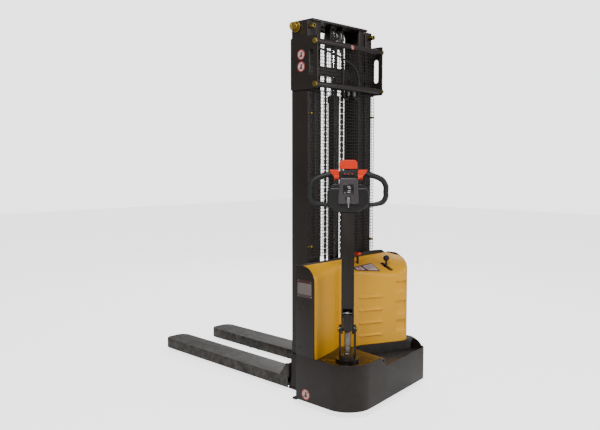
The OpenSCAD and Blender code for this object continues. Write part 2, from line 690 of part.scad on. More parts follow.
module caster_wheel() color("#3f3b39") translate([caster_pos[0], caster_pos[1], 0]) difference() {
    x_rod(-caster_w / 2, caster_w / 2, -caster_trail, caster_d / 2, caster_d);
    x_rod(-caster_w, caster_w, -caster_trail, caster_d / 2, 15 + 2 * run_fit);
}

// ---- tiller ----
module tiller_base() color("#1d1916") at_tiller() {
    translate([0, 0, deck_z + slide_gap]) cylinder(d = ring_d, h = 16);
    translate([0, 0, deck_z + slide_gap + 16]) cylinder(d = ear_gap + 2 * ear_t - 4, h = 16);
    difference() {
        both_sides() x_plate(ear_gap / 2, ear_gap / 2 + ear_t) hull() {
            translate([0, pivot_z]) circle(d = 50);
            translate([-26, deck_z + 30]) square([52, 6]);
        }
        x_rod(-80, 80, 0, pivot_z, pivot_d + 0.02);
    }
    x_rod(-ear_gap / 2 - ear_t, ear_gap / 2 + ear_t, 0, pivot_z, pivot_d);
    difference() {
        both_sides() box([10, 16], [spring_y - 9, spring_y + 9], [deck_z + 32, spring_low + spring_pin / 2 + 3.5]);
        x_rod(-20, 20, spring_y, spring_low, spring_pin + 2 * run_fit);
    }
}

module tiller_arm() color("#26211c") at_tiller() {
    difference() {
        both_sides() x_plate(arm_w / 2 - 8, arm_w / 2) hull() {
            translate([0, pivot_z]) circle(d = 46);
            translate([-26, pivot_z + 60]) square([52, 10]);
        }
        x_rod(-80, 80, 0, pivot_z, pivot_d + 2 * run_fit);
    }
    difference() {
        box([-arm_w / 2, arm_w / 2], [-26, 26], [pivot_z + 60, head_z + 30]);
        box([-arm_w / 2 + 8, arm_w / 2 - 8], [-27, 18], [pivot_z + 59, pivot_z + 112]);
        box([-arm_w / 2 + 5, arm_w / 2 - 5], [-21, 21], [pivot_z + 111, head_z + 20]);
    }
    // ears beside the gas spring's upper eye
    both_sides() box([arm_w / 2 - 8, arm_w / 2], [spring_y - 10, -25], [spring_high - 14, spring_high + 14]);
}

module gas_spring_tube() color("#a9abab") at_tiller() {
    difference() {
        translate([0, spring_y, spring_low + 12]) cylinder(d = spring_tube_d, h = spring_tube_h);
        translate([0, spring_y, spring_low + 16]) cylinder(d = spring_tube_d - 6, h = spring_tube_h - 10);
        translate([0, spring_y, spring_low + 16]) cylinder(d = spring_rod_d + 2 * run_fit, h = spring_tube_h);
    }
    x_rod(-9.5, 9.5, spring_y, spring_low, 18);
    x_rod(-16, 16, spring_y, spring_low, spring_pin);
    translate([0, spring_y, spring_low]) cylinder(d = 12, h = 14);
}

// its upper eye lies between the arm's ears, where the linkage is left open
module gas_spring_rod() color("#d7d9da") at_tiller() {
    rod_z = spring_low + spring_tube_h + 2;
    translate([0, spring_y, rod_z]) cylinder(d = spring_rod_d, h = spring_high - rod_z);
    x_rod(-9, 9, spring_y, spring_high, 18);
    x_rod(-arm_w / 2 + 8.3, arm_w / 2 - 8.3, spring_y, spring_high, spring_pin);
}

// outline of the shield-shaped head, seen from the operator's side
module head_outline() hull() {
    translate([-92, head_z + 50]) square([184, head_h - 66]);
    translate([-98, head_z + 66]) square([196, head_h - 98]);
    for (s = [-1, 1]) translate([s * 34, head_z + 12]) circle(r = 12, $fn = 32);
    for (s = [-1, 1]) translate([s * 88, head_z + 46]) circle(r = 18, $fn = 32);
}
module control_head() color("#191613") at_tiller() {
    difference() {
        y_plate(-head_y, head_y) head_outline();
        box([-arm_w / 2, arm_w / 2], [-26, 26], [head_z - 1, head_z + 30]);
    }
    difference() {
        y_plate(-head_y, head_y) translate([-strip_w / 2, head_z + head_h - 20])
            rounded([strip_w, button_z - head_z - head_h + 20], 5);
        x_rod(-strip_w, strip_w, throttle_y, throttle_z, throttle_pin + 2 * run_fit);
        translate([0, 8, button_z - 30]) cylinder(d = button_stem + 2 * run_fit, h = 40);
        box([-32, 32], [-head_y - 1, -head_y + 5], [rocker_z - 9, rocker_z + 9]);
        translate([0, -head_y + 3, rocker_z - 14]) cylinder(d = 6 + 2 * run_fit, h = 28);
    }
}
module head_panel() color("#57504f") at_tiller() y_plate(-head_y - 12, -head_y) hull() {
    for (s = [-1, 1]) {
        translate([s * 44, head_z + 54]) circle(r = 9, $fn = 32);
        translate([s * 36, head_z + 166]) circle(r = 9, $fn = 32);
    }
}

grip_x = grip_span / 2 - grip_d / 2;
grip_y = 16;
grip_path = [[strip_w / 2 - 1, grip_y, head_z + 196], [94, grip_y, head_z + 193],
    [140, grip_y, head_z + 181], [grip_x - 16, grip_y, head_z + 162], [grip_x, grip_y, head_z + 132],
    [grip_x, grip_y, head_z + 78], [grip_x - 16, grip_y, head_z + 52],
    [140, grip_y, head_z + 41], [90, grip_y, head_z + 36]];
module hand_grips() color("#24201d") at_tiller() both_sides()
    sweep(smooth(grip_path, 3), grip_d, [0, 1, 0], 14);

module reverse_button() color("#e8451a") at_tiller() {
    hull() {
        box([-44, 44], [-head_y + 4, head_y - 4], [button_z + button_travel + 0.3, button_z + 40]);
        box([-36, 36], [-head_y + 12, head_y - 12], [button_z + button_travel + 0.3, button_z + 50]);
    }
    translate([0, 8, button_z - 24]) cylinder(d = button_stem, h = 40);
}
module throttle() color("#e8451a") at_tiller() {
    both_sides() x_rod(strip_w / 2 + 0.5, strip_w / 2 + 22, throttle_y, throttle_z, 28);
    both_sides() box([strip_w / 2 + 3, strip_w / 2 + 46], [throttle_y - 5, throttle_y + 5],
        [throttle_z, throttle_z + 36]);
    x_rod(-strip_w / 2 - 1, strip_w / 2 + 1, throttle_y, throttle_z, throttle_pin);
}
module lift_rocker() color("#d0301c") at_tiller() {
    box([-30, 30], [-head_y - 5, -head_y + 1], [rocker_z - 8, rocker_z + 8]);
    translate([0, -head_y + 3, rocker_z - 13]) cylinder(d = 6, h = 26);
}
key_z = head_z + 72;
module ignition_key() color("#c9cbcc") at_tiller() {
    y_rod(0, -head_y - 24, -head_y - 12.3, key_z, 14);
    box([-8, 8], [-head_y - 40, -head_y - 24], [key_z - 26, key_z + 6]);
}

// ---- parts in place ----
place() chassis_skirt();
place() deck_plates();
place() mast_foot();
place() side_panels();
place() rear_bulkhead();
place() drive_cover();
place() dash_panel();
place() battery();
place() pump_unit();
place() motor_controller();
place() leg_left();
place() leg_right();
place() load_axles();
place() outer_mast_left();
place() outer_mast_right();
place() outer_crossbeams();
place() head_plates();
place() tie_tubes();
place() zinc_fasteners();
place() lifting_eyes();
place() mesh_guard();
place() cylinder_barrel();
place() hydraulic_hoses();
place() side_plates();
place() wear_pads();
place() inner_mast_left();
place() inner_mast_right();
place() inner_crossbeams();
place() cylinder_rod();
place() sheave_bracket();
place() chain_sheaves();
place() lift_chains();
place() inner_rollers();
place() carriage_frame();
place() carriage_rollers_low();
place() carriage_rollers_high();
place() fork_left();
place() fork_right();
place() drive_yoke();
place() tiller_base();
place() drive_hub();
place() drive_tyre();
place() caster_fork();
place() caster_wheel();
place() load_roller_left_rear();
place() load_roller_left_front();
place() load_roller_right_rear();
place() load_roller_right_front();
place() tiller_arm();
place() control_head();
place() head_panel();
place() hand_grips();
place() reverse_button();
place() throttle();
place() lift_rocker();
place() ignition_key();
place() gas_spring_tube();
place() gas_spring_rod();
place() valve_lever();
place() emergency_stop();
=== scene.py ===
"""Surface finish and fine detail of an electric walkie stacker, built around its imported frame."""

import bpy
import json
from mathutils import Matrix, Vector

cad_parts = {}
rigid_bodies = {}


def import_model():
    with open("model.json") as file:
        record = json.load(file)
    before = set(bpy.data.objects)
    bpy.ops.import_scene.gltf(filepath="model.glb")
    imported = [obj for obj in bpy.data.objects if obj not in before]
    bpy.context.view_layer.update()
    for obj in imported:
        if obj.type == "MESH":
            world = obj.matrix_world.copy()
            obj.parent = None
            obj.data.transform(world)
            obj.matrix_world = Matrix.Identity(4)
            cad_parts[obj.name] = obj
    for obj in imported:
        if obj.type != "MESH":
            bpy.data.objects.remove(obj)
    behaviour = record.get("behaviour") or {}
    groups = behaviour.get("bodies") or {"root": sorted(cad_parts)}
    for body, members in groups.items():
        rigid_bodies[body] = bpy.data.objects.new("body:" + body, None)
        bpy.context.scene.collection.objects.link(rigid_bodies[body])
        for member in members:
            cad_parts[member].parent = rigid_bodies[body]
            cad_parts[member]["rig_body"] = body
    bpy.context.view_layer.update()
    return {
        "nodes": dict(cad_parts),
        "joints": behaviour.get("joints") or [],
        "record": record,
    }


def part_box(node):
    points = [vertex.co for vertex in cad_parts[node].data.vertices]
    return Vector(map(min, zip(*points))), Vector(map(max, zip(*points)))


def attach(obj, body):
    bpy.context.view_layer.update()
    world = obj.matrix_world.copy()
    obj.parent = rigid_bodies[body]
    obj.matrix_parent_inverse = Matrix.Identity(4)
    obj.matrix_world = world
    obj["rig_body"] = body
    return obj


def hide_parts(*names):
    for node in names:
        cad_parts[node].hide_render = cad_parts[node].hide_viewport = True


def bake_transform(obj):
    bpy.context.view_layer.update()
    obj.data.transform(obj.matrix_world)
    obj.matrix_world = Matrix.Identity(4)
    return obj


bl_info = {
    "name": "Walkie Stacker",
    "version": (1, 0, 0),
    "blender": (4, 5, 0),
    "location": "View3D > Sidebar > Stacker",
    "description": "Builds the covers, controls, guard, chains and finishes of a walkie stacker",
    "category": "Add Mesh",
}

import json
import math

import bmesh
import bpy
from bpy.props import FloatProperty, FloatVectorProperty, PointerProperty
from mathutils import Matrix, Vector, geometry

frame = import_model()
MM = 0.001
MERGE_DISTANCE = 0.02 * MM


# ---- places taken from the frame ----
def low(node):
    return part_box(node)[0]


def high(node):
    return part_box(node)[1]


JOINTS = {joint["name"]: joint for joint in frame["joints"]}
STEER = Vector(JOINTS["steer"]["pos_m"])
TILT_AXIS = Vector(JOINTS["tiller_tilt"]["axis"])
TILLER = (Matrix.Translation((STEER.x, STEER.y, 0))
          @ Matrix.Rotation(math.atan2(TILT_AXIS.y, TILT_AXIS.x), 4, "Z"))
DATUM_DEPTH = 42 * MM
MAST_DATUM = low("outer_mast_left").y + DATUM_DEPTH
SIDE_FACE = -high("side_panels").x / MM


def at_mast(x, y, z):
    """A point given in millimetres from the middle of the mast at floor level."""
    return Vector((x * MM, MAST_DATUM + y * MM, z * MM))


def joint_height(name):
    """A joint's height above the floor, in millimetres."""
    return JOINTS[name]["pos_m"][2] / MM


def facing(spot, direction):
    """Places a shape that was turned about Z so that it stands on a spot and points that way."""
    return Matrix.Translation(spot) @ Vector(direction).to_track_quat("Z", "Y").to_matrix().to_4x4()


# ---- outlines, in millimetres ----
def rounded(corners, radius, steps=6):
    """Outline of a polygon whose corners are arcs; a corner's third number is a radius of its own."""
    outline = []
    count = len(corners)
    for i, corner in enumerate(corners):
        here = Vector(corner[:2])
        back = Vector(corners[i - 1][:2]) - here
        ahead = Vector(corners[(i + 1) % count][:2]) - here
        own = corner[2] if len(corner) > 2 else radius
        half = back.angle(ahead) / 2
        if own <= 0 or half > math.radians(89):
            outline.append(here)
            continue
        reach = min(own / math.tan(half), 0.49 * back.length, 0.49 * ahead.length)
        centre = here + (back.normalized() + ahead.normalized()).normalized() * reach / math.cos(half)
        start = here + back.normalized() * reach - centre
        end = here + ahead.normalized() * reach - centre
        swing = math.atan2(start.x * end.y - start.y * end.x, start.dot(end))
        for k in range(steps + 1):
            outline.append(centre + Matrix.Rotation(swing * k / steps, 2) @ start)
    return outline


def rectangle(x0, x1, y0, y1, radius, steps=6):
    return rounded([(x0, y0), (x1, y0), (x1, y1), (x0, y1)], radius, steps)


def taper(half_low, low_end, half_high, high_end, radius, steps=6):
    """A symmetrical outline with four corners and leaning sides."""
    return rounded([(-half_low, low_end), (half_low, low_end), (half_high, high_end), (-half_high, high_end)],
                   radius, steps)


def two_halves(left):
    """The corners of a symmetrical outline, from those of its left half."""
    return left + [(-x, *rest) for x, *rest in reversed(left)]


def circle(x, y, radius, count=32):
    return [Vector((x + radius * math.cos(math.tau * k / count),
                    y + radius * math.sin(math.tau * k / count))) for k in range(count)]


def inside(spot, loop):
    """Whether a point lies inside a closed outline."""
    found = False
    for a, b in zip(loop, loop[1:] + loop[:1]):
        if (a.y > spot.y) != (b.y > spot.y) and spot.x < (b.x - a.x) * (spot.y - a.y) / (b.y - a.y) + a.x:
            found = not found
    return found


def net(loops, spots, gap):
    """Triangles that fill the first outline and leave the others open, as points and faces.

    The spots that are farther than gap from every outline's points become corners too.
    """
    points, edges = [], []
    for loop in loops:
        first = len(points)
        points.extend(loop)
        edges.extend((first + i, first + (i + 1) % len(loop)) for i in range(len(loop)))
    spots = [spot for spot in spots if min((spot - p).length for p in points) > gap]
    verts, _, faces, _, _, _ = geometry.delaunay_2d_cdt(points + spots, edges, [], 0, 1e-4)

    def kept(face):
        middle = sum((verts[k] for k in face), Vector((0, 0))) / len(face)
        return inside(middle, loops[0]) and not any(inside(middle, hole) for hole in loops[1:])

    return verts, [face for face in faces if kept(face)]


# ---- meshes ----
def outward(bm):
    bmesh.ops.recalc_face_normals(bm, faces=bm.faces)
    return bm


def moved(bm, matrix):
    bmesh.ops.transform(bm, matrix=matrix, verts=bm.verts)
    return bm


def joined(*parts):
    """One bmesh from several; the parts are used up."""
    whole = bmesh.new()
    for part in parts:
        mesh = bpy.data.meshes.new("part")
        part.to_mesh(mesh)
        part.free()
        whole.from_mesh(mesh)
        bpy.data.meshes.remove(mesh)
    return whole


def skin(bm, rows, closed=True):
    """Faces between each row of vertices and the next; a closed row is a ring."""
    for one, two in zip(rows, rows[1:]):
        for k in range(len(one) if closed else len(one) - 1):
            m = (k + 1) % len(one)
            corners = list(dict.fromkeys((one[k], one[m], two[m], two[k])))
            if len(corners) > 2:
                bm.faces.new(corners)


def drop_loose(bm):
    for vert in [v for v in bm.verts if not v.link_faces]:
        bm.verts.remove(vert)


def slab(outline, depth0, depth1, plane="XZ"):
    """A plate with that outline; plane names the outline's two axes, and the depths run along the third."""
    bm = bmesh.new()
    axes = {"XY": (0, 1, 2), "XZ": (0, 2, 1), "YZ": (1, 2, 0)}[plane]

    def place(point, depth):
        spot = [0, 0, 0]
        for axis, value in zip(axes, (*point, depth)):
            spot[axis] = value * MM
        return bm.verts.new(spot)

    near, far = [[place(p, depth) for p in outline] for depth in (depth0, depth1)]
    bm.faces.new(near)
    bm.faces.new(far[::-1])
    skin(bm, (near, far))
    return outward(bm)


def lathe(profile, steps=40):
    """A turned solid: profile is a list of (radius, height) in millimetres about the Z axis.

    A profile that comes back to its first point makes a ring with a hole through it.
    """
    bm = bmesh.new()
    hollow = profile[0] == profile[-1]
    rings = []
    for radius, height in profile[:-1] if hollow else profile:
        if radius < 0.01:
            rings.append([bm.verts.new((0, 0, height * MM))] * steps)
        else:
            rings.append([bm.verts.new(Vector((p.x, p.y, height)) * MM) for p in circle(0, 0, radius, steps)])
    if hollow:
        rings.append(rings[0])
    skin(bm, rings)
    for ring in () if hollow else (rings[0], rings[-1]):
        if ring[0] is not ring[1]:
            bm.faces.new(ring)
    return outward(bm)


def disc(radius, height0, height1, hole=0, steps=40):
    """A flat disc, or a ring where it has a hole."""
    profile = [(hole, height0), (radius, height0), (radius, height1), (hole, height1)]
    return lathe(profile + profile[:1] if hole else profile, steps)


def band(outer, inner, depth0, depth1):
    """A flat ring between two outlines that have the same number of points, in the XY plane."""
    bm = bmesh.new()
    loops = [[bm.verts.new(Vector((p.x, p.y, depth)) * MM) for p in loop]
             for loop, depth in ((outer, depth0), (outer, depth1), (inner, depth1), (inner, depth0))]
    skin(bm, loops + loops[:1])
    return outward(bm)


def tube(points, sizes, sides):
    """A round bar swept along points, with flat ends and a radius for each point."""
    bm = bmesh.new()
    rings = []
    last = len(points) - 1
    for i, point in enumerate(points):
        along = (points[min(i + 1, last)] - points[max(i - 1, 0)]).normalized()
        out = along.cross(Vector((0, 1, 0))).normalized()
        up = out.cross(along).normalized()
        rings.append([bm.verts.new(point + sizes[i] * (p.x * out + p.y * up))
                      for p in circle(0, 0, 1, sides)])
    skin(bm, rings)
    bm.faces.new(rings[0])
    bm.faces.new(rings[-1])
    return outward(bm)


def flowing(points, steps=8):
    """Points along a smooth curve through the given ones."""
    spots = [Vector(p) for p in points]
    line = []
    for i in range(len(spots) - 1):
        a, b = spots[max(i - 1, 0)], spots[i]
        c, d = spots[i + 1], spots[min(i + 2, len(spots) - 1)]
        for k in range(steps):
            t = k / steps
            line.append(0.5 * (2 * b + (c - a) * t + (2 * a - 5 * b + 4 * c - d) * t * t
                               + (3 * b - a - 3 * c + d) * t ** 3))
    line.append(spots[-1])
    return line


# ---- pieces ----
def in_scene(obj):
    bpy.context.scene.collection.objects.link(obj)
    return obj


def object_of(name, bm=None):
    """A new object with a bmesh as its mesh; the bmesh is used up."""
    mesh = bpy.data.meshes.new(name)
    if bm:
        bm.to_mesh(mesh)
        bm.free()
    return in_scene(bpy.data.objects.new(name, mesh))


def settle(obj):
    """Turns an object's modifiers into its plain mesh."""
    bpy.context.view_layer.update()
    graph = bpy.context.evaluated_depsgraph_get()
    mesh = bpy.data.meshes.new_from_object(obj.evaluated_get(graph))
    obj.modifiers.clear()
    obj.data = mesh
    return obj


def finished(obj, body, finish, angle=35, replaces=None):
    """Gives a piece its finish, the body that it rides on and the node that it stands for."""
    obj.data.materials.clear()
    obj.data.materials.append(surface(finish))
    obj.data.shade_smooth()
    obj.data.set_sharp_from_angle(angle=math.radians(angle))
    if body:
        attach(obj, body)
    if replaces:
        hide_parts(replaces)
    return obj


def piece(name, bm, body, finish, slot, edge=0.0, segments=3, angle=35, replaces=None):
    """Finishes a bmesh as a piece that rides on a body; edge rounds its sharp edges, in millimetres."""
    obj = object_of(name, bm)
    if edge:
        bevel = obj.modifiers.new("Rounded edges", "BEVEL")
        bevel.width = edge * MM
        bevel.segments = segments
        bevel.limit_method = "ANGLE"
        bevel.angle_limit = math.radians(30)
        bevel.miter_outer = "MITER_ARC"
        settle(obj)
    finished(obj, body, finish, angle, replaces)


def soften(*rows):
    """Copies nodes with their sharp edges rounded; the copies stand for the nodes.

    A row holds the nodes' names, the edge in millimetres, its segments and the finish.
    """
    slots = {part["node"]: part["material_slot"] for part in frame["record"]["subparts"]}
    for names, edge, segments, finish in rows:
        for name in names.split():
            node = frame["nodes"][name]
            bm = bmesh.new()
            bm.from_mesh(node.data)
            bmesh.ops.remove_doubles(bm, verts=bm.verts, dist=MERGE_DISTANCE)
            bmesh.ops.dissolve_limit(bm, angle_limit=math.radians(1), verts=bm.verts, edges=bm.edges)
            piece(name + "_shaped", bm, node["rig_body"], finish, slots[name], edge, segments, replaces=name)


# ---- node trees ----
def add(tree, kind, inputs=None, **settings):
    """Adds a node; an input that is another node's socket is linked, and any other is set."""
    node = tree.nodes.new(kind)
    for name, value in settings.items():
        setattr(node, name, value)
    for name, value in (inputs or {}).items():
        if isinstance(value, bpy.types.NodeSocket):
            tree.links.new(value, node.inputs[name])
        else:
            node.inputs[name].default_value = value
    return node


def maths(tree, operation, first, second, clamp=False):
    return add(tree, "ShaderNodeMath", {0: first, 1: second}, operation=operation, use_clamp=clamp).outputs[0]


def times(tree, first, second, clamp=False):
    return maths(tree, "MULTIPLY", first, second, clamp)


def vector(tree, **parts):
    return add(tree, "ShaderNodeCombineXYZ", parts).outputs[0]


def vector_sum(tree, first, second):
    return add(tree, "ShaderNodeVectorMath", {0: first, 1: second}, operation="ADD").outputs[0]


def noise(tree, place, scale, detail, rough=0.5):
    return add(tree, "ShaderNodeTexNoise", {
        "Vector": place, "Scale": scale, "Detail": detail, "Roughness": rough}).outputs["Fac"]


def remapped(tree, value, start, end, lowest=0.0, highest=1.0):
    return add(tree, "ShaderNodeMapRange", {
        "Value": value, "From Min": start, "From Max": end, "To Min": lowest, "To Max": highest}).outputs[0]


def mixed(tree, factor, first, second):
    return add(tree, "ShaderNodeMix", {"Factor": factor, 6: first, 7: second}, data_type="RGBA").outputs[2]


def for_camera(tree, to_camera, to_objects):
    """A strength that is one value to the camera and another as light on the objects."""
    seen = add(tree, "ShaderNodeLightPath").outputs["Is Camera Ray"]
    return maths(tree, "ADD", times(tree, seen, to_camera - to_objects), to_objects)


def group(name, given, results, kind="ShaderNodeTree"):
    """An empty node group, with its input and output sockets by name.

    An input is given by its default, or by its kind where it has none, and a result by its kind.
    """
    kinds = {float: "Float", int: "Int", tuple: "Vector"}
    tree = bpy.data.node_groups.new(name, kind)
    for label, value in given.items():
        sort = value if isinstance(value, str) else kinds[type(value)]
        socket = tree.interface.new_socket(label, in_out="INPUT", socket_type="NodeSocket" + sort)
        if sort != value:
            socket.default_value = value
    for label, value in results.items():
        tree.interface.new_socket(label, in_out="OUTPUT", socket_type="NodeSocket" + value)
    return (tree, {socket.name: socket for socket in tree.nodes.new("NodeGroupInput").outputs},
            {socket.name: socket for socket in tree.nodes.new("NodeGroupOutput").inputs})


TREES = {}


def shared(maker):
    """The node tree that a function makes, made when it is first wanted."""
    if maker not in TREES:
        TREES[maker] = maker()
    return TREES[maker]


# ---- shader groups ----
def edge_wear_and_highlight():
    """A mask of the corners that get knocked and of the painted highlight along edges, broken up by noise."""
    tree, given, out = group("Edge wear", {"Vector": "Vector", "Radius": 0.002, "Amount": 0.5, "Scale": 40.0},
                             {"Wear": "Float"})
    round_normal = add(tree, "ShaderNodeBevel", {"Radius": given["Radius"]}, samples=3).outputs[0]
    flat_normal = add(tree, "ShaderNodeNewGeometry").outputs["Normal"]
    match = add(tree, "ShaderNodeVectorMath", {0: round_normal, 1: flat_normal}, operation="DOT_PRODUCT")
    bend = maths(tree, "SUBTRACT", 1.0, match.outputs["Value"], True)
    patches = remapped(tree, noise(tree, given["Vector"], given["Scale"], 6.0, 0.65), 0.48, 0.66)
    strong = times(tree, times(tree, bend, 9.0, True), patches)
    tree.links.new(times(tree, strong, given["Amount"], True), out["Wear"])
    return tree


def grain_and_tone():
    """Fine moulded or sprayed grain, and a slow change of tone."""
    tree, given, out = group("Grain", {"Vector": "Vector", "Scale": 900.0, "Patch scale": 4.0},
                             {"Height": "Float", "Tone": "Float"})
    tree.links.new(noise(tree, given["Vector"], given["Scale"], 2.0), out["Height"])
    tree.links.new(noise(tree, given["Vector"], given["Patch scale"], 4.0, 0.6), out["Tone"])
    return tree


def lying_dust():
    """A mask of the dust that lies on upward faces and gathers near the floor."""
    tree, given, out = group("Dust", {"Vector": "Vector", "Amount": 0.3, "Fade height": 0.5},
                             {"Dust": "Float"})
    place = add(tree, "ShaderNodeSeparateXYZ", {0: given["Vector"]})
    faces = add(tree, "ShaderNodeSeparateXYZ", {0: add(tree, "ShaderNodeNewGeometry").outputs["Normal"]})
    lying = times(tree, faces.outputs["Z"], 0.6, True)
    depth = maths(tree, "DIVIDE", place.outputs["Z"], given["Fade height"])
    near_floor = times(tree, maths(tree, "SUBTRACT", 1.0, depth, True), 0.7)
    cloud = remapped(tree, noise(tree, given["Vector"], 22.0, 8.0, 0.7), 0.4, 0.75)
    laid = times(tree, maths(tree, "MAXIMUM", lying, near_floor), cloud)
    tree.links.new(times(tree, laid, given["Amount"], True), out["Dust"])
    return tree


def brushed_lines():
    """Fine drawn lines along one axis of the piece."""
    tree, given, out = group("Brushed lines", {"Vector": "Vector", "Stretch": (30.0, 900.0, 900.0)},
                             {"Line": "Float"})
    drawn = add(tree, "ShaderNodeVectorMath", {0: given["Vector"], 1: given["Stretch"]}, operation="MULTIPLY")
    tree.links.new(noise(tree, drawn.outputs[0], 1.0, 3.0), out["Line"])
    return tree


# ---- finishes ----
def settings():
    return bpy.context.scene.stacker


PATCH_SCALE = 5.0
GRAIN_DISTANCE = 0.6 * MM
# Colour of worn corners, which also serves as a painted highlight along the edges.
WORN_AND_HIGHLIGHT_COLOUR = (0.12, 0.105, 0.095, 1)
DUST_COLOUR = (0.34, 0.31, 0.27, 1)
# A colour or an amount of wear and painted edge highlight that is a name is the user's setting.
FINISHES = {
    "chassis paint": dict(colour="paint_colour", rough=0.34, grain=420.0, depth=0.10, wear="wear", dust=0.04),
    "mast paint": dict(colour="paint_colour", rough=0.42, grain=520.0, depth=0.10, wear="wear", dust=0.02),
    "gloss deck paint": dict(colour="paint_colour", shade=0.6, rough=0.20, grain=300.0, depth=0.03, wear=0.35,
                             dust=0.05),
    "fork paint": dict(colour=(0.020, 0.016, 0.0145), rough=0.38, grain=260.0, depth=0.12, tone=0.25,
                       wear=0.9,
                       wear_radius=0.004, dust=0.5),
    "yellow moulded cover": dict(colour="cover_colour", rough=0.34, grain=1500.0, tone=0.04),
    "black grained plastic": dict(colour=(0.010, 0.0088, 0.0085), rough=0.42, grain=1400.0, depth=0.16,
                                  tone=0.10),
    "grey satin plastic": dict(colour=(0.062, 0.054, 0.058), rough=0.36, grain=1400.0, depth=0.08, tone=0.06),
    "orange-red plastic": dict(colour="control_colour", rough=0.30, coat=0.2, grain=1500.0, depth=0.04,
                               tone=0.05),
    "grip rubber": dict(colour=(0.012, 0.0115, 0.012), rough=0.55, grain=700.0, depth=0.30, tone=0.10),
    "hose rubber": dict(colour=(0.009, 0.0085, 0.008), rough=0.48, depth=0.12, tone=0.10),
    "cast polyurethane": dict(colour=(0.40, 0.12, 0.05), rough=0.45, grain=350.0, depth=0.10, tone=0.15,
                              dust=0.6),
    "dark wheel compound": dict(colour=(0.05, 0.046, 0.044), rough=0.5, grain=350.0, depth=0.12, tone=0.15,
                                dust=0.5),
    "cast nylon": dict(colour=(0.42, 0.34, 0.20), rough=0.42, grain=300.0, depth=0.10, tone=0.15, dust=0.4),
    "ground steel": dict(colour=(0.50, 0.50, 0.50), rough=0.30, metal=1.0, depth=0.04, tone=0.08,
                         stretch=(900.0, 900.0, 20.0)),
    "hard chrome": dict(colour=(0.78, 0.78, 0.79), rough=0.08, metal=1.0, depth=0.01, tone=0.03),
    "spring grey metal": dict(colour=(0.23, 0.215, 0.20), rough=0.36, metal=0.85, grain=300.0, depth=0.04,
                              tone=0.10),
    "yellow zinc": dict(colour=(0.36, 0.26, 0.055), rough=0.34, metal=1.0, grain=260.0, tone=0.30),
    "guard wire paint": dict(colour=(0.014, 0.011, 0.010), rough=0.45, depth=0.06),
    "oiled chain steel": dict(colour=(0.20, 0.18, 0.17), rough=0.35, metal=1.0, grain=300.0, depth=0.08,
                              tone=0.30),
    "cast metal": dict(colour=(0.22, 0.22, 0.23), rough=0.50, metal=0.6, grain=240.0, depth=0.35, tone=0.15,
                       dust=0.3),
    "battery case": dict(colour=(0.045, 0.050, 0.060), rough=0.45, depth=0.12, dust=0.2),
    "natural nylon": dict(colour=(0.55, 0.52, 0.46), rough=0.40, grain=500.0),
    "printed plate": dict(colour=(0.20, 0.165, 0.155), rough=0.32, metal=0.4, depth=0.03, tone=0.06,
                          stretch=(900.0, 12.0, 900.0)),
    "label white": dict(colour=(0.62, 0.45, 0.44), rough=0.35, depth=0.01, tone=0.04),
    "label red": dict(colour=(0.42, 0.05, 0.045), rough=0.33, depth=0.01, tone=0.05),
    "label dark": dict(colour=(0.050, 0.018, 0.017), rough=0.25, coat=0.3, depth=0.01, tone=0.05),
    "display window": dict(colour=(0.012, 0.011, 0.012), rough=0.10, coat=0.5, depth=0.0, tone=0.02),
    "pale print": dict(colour=(0.42, 0.36, 0.37), rough=0.40, depth=0.01, tone=0.05),
}


def setting(value):
    return getattr(settings(), value) if isinstance(value, str) else value


def placed(tree, maker, values):
    """Puts a shader group in a material, reading Object coordinates; gives its outputs."""
    node = tree.nodes.new("ShaderNodeGroup")
    node.node_tree = shared(maker)
    tree.links.new(add(tree, "ShaderNodeTexCoord").outputs["Object"], node.inputs["Vector"])
    for name, value in values.items():
        node.inputs[name].default_value = value
    return node.outputs


def surface(name):
    """The material of that name, made when it is first wanted."""
    return bpy.data.materials.get(name) or new_surface(name, **FINISHES[name])


def new_surface(name, colour, rough, shade=1.0, metal=0.0, coat=0.0, grain=900.0, depth=0.05, tone=0.12,
                wear=0.0, wear_radius=0.0025, dust=0.0, stretch=None):
    """A material: base colour with slow patches, grain, worn corners that also paint an edge highlight, and
    dust, as the values say.
    """
    material = bpy.data.materials.new(name)
    material.use_nodes = True
    tree = material.node_tree
    tree.nodes.clear()
    grained = placed(tree, grain_and_tone, {"Scale": grain, "Patch scale": PATCH_SCALE})
    colour = [shade * part for part in setting(colour)]
    darker = [part * (1 - tone) for part in colour] + [1]
    lighter = [min(part * (1 + tone), 1) for part in colour] + [1]
    base = mixed(tree, remapped(tree, grained["Tone"], 0.35, 0.65), darker, lighter)
    spread = remapped(tree, grained["Tone"], 0.3, 0.7, max(rough - 0.06, 0.02), min(rough + 0.08, 1))
    height = grained["Height"]
    if setting(wear):
        wear_and_highlight_mask = placed(tree, edge_wear_and_highlight, {"Radius": wear_radius, "Amount": setting(wear)})["Wear"]
        # Lighter corners: worn paint, and a painted highlight along the edges.
        base = mixed(tree, wear_and_highlight_mask, base, WORN_AND_HIGHLIGHT_COLOUR)
    if dust:
        dusty = placed(tree, lying_dust, {"Amount": dust})["Dust"]
        base = mixed(tree, dusty, base, DUST_COLOUR)
        spread = maths(tree, "ADD", spread, times(tree, dusty, 0.35), True)
    if stretch:
        height = placed(tree, brushed_lines, {"Stretch": stretch})["Line"]
        spread = maths(tree, "ADD", spread, times(tree, maths(tree, "SUBTRACT", height, 0.5), 0.25), True)
    bump = add(tree, "ShaderNodeBump", {"Strength": depth, "Distance": GRAIN_DISTANCE, "Height": height})
    shader = add(tree, "ShaderNodeBsdfPrincipled", {
        "Base Color": base, "Metallic": metal, "Roughness": spread, "Coat Weight": coat,
        "Normal": bump.outputs[0]})
    add(tree, "ShaderNodeOutputMaterial", {0: shader.outputs[0]})
    return material


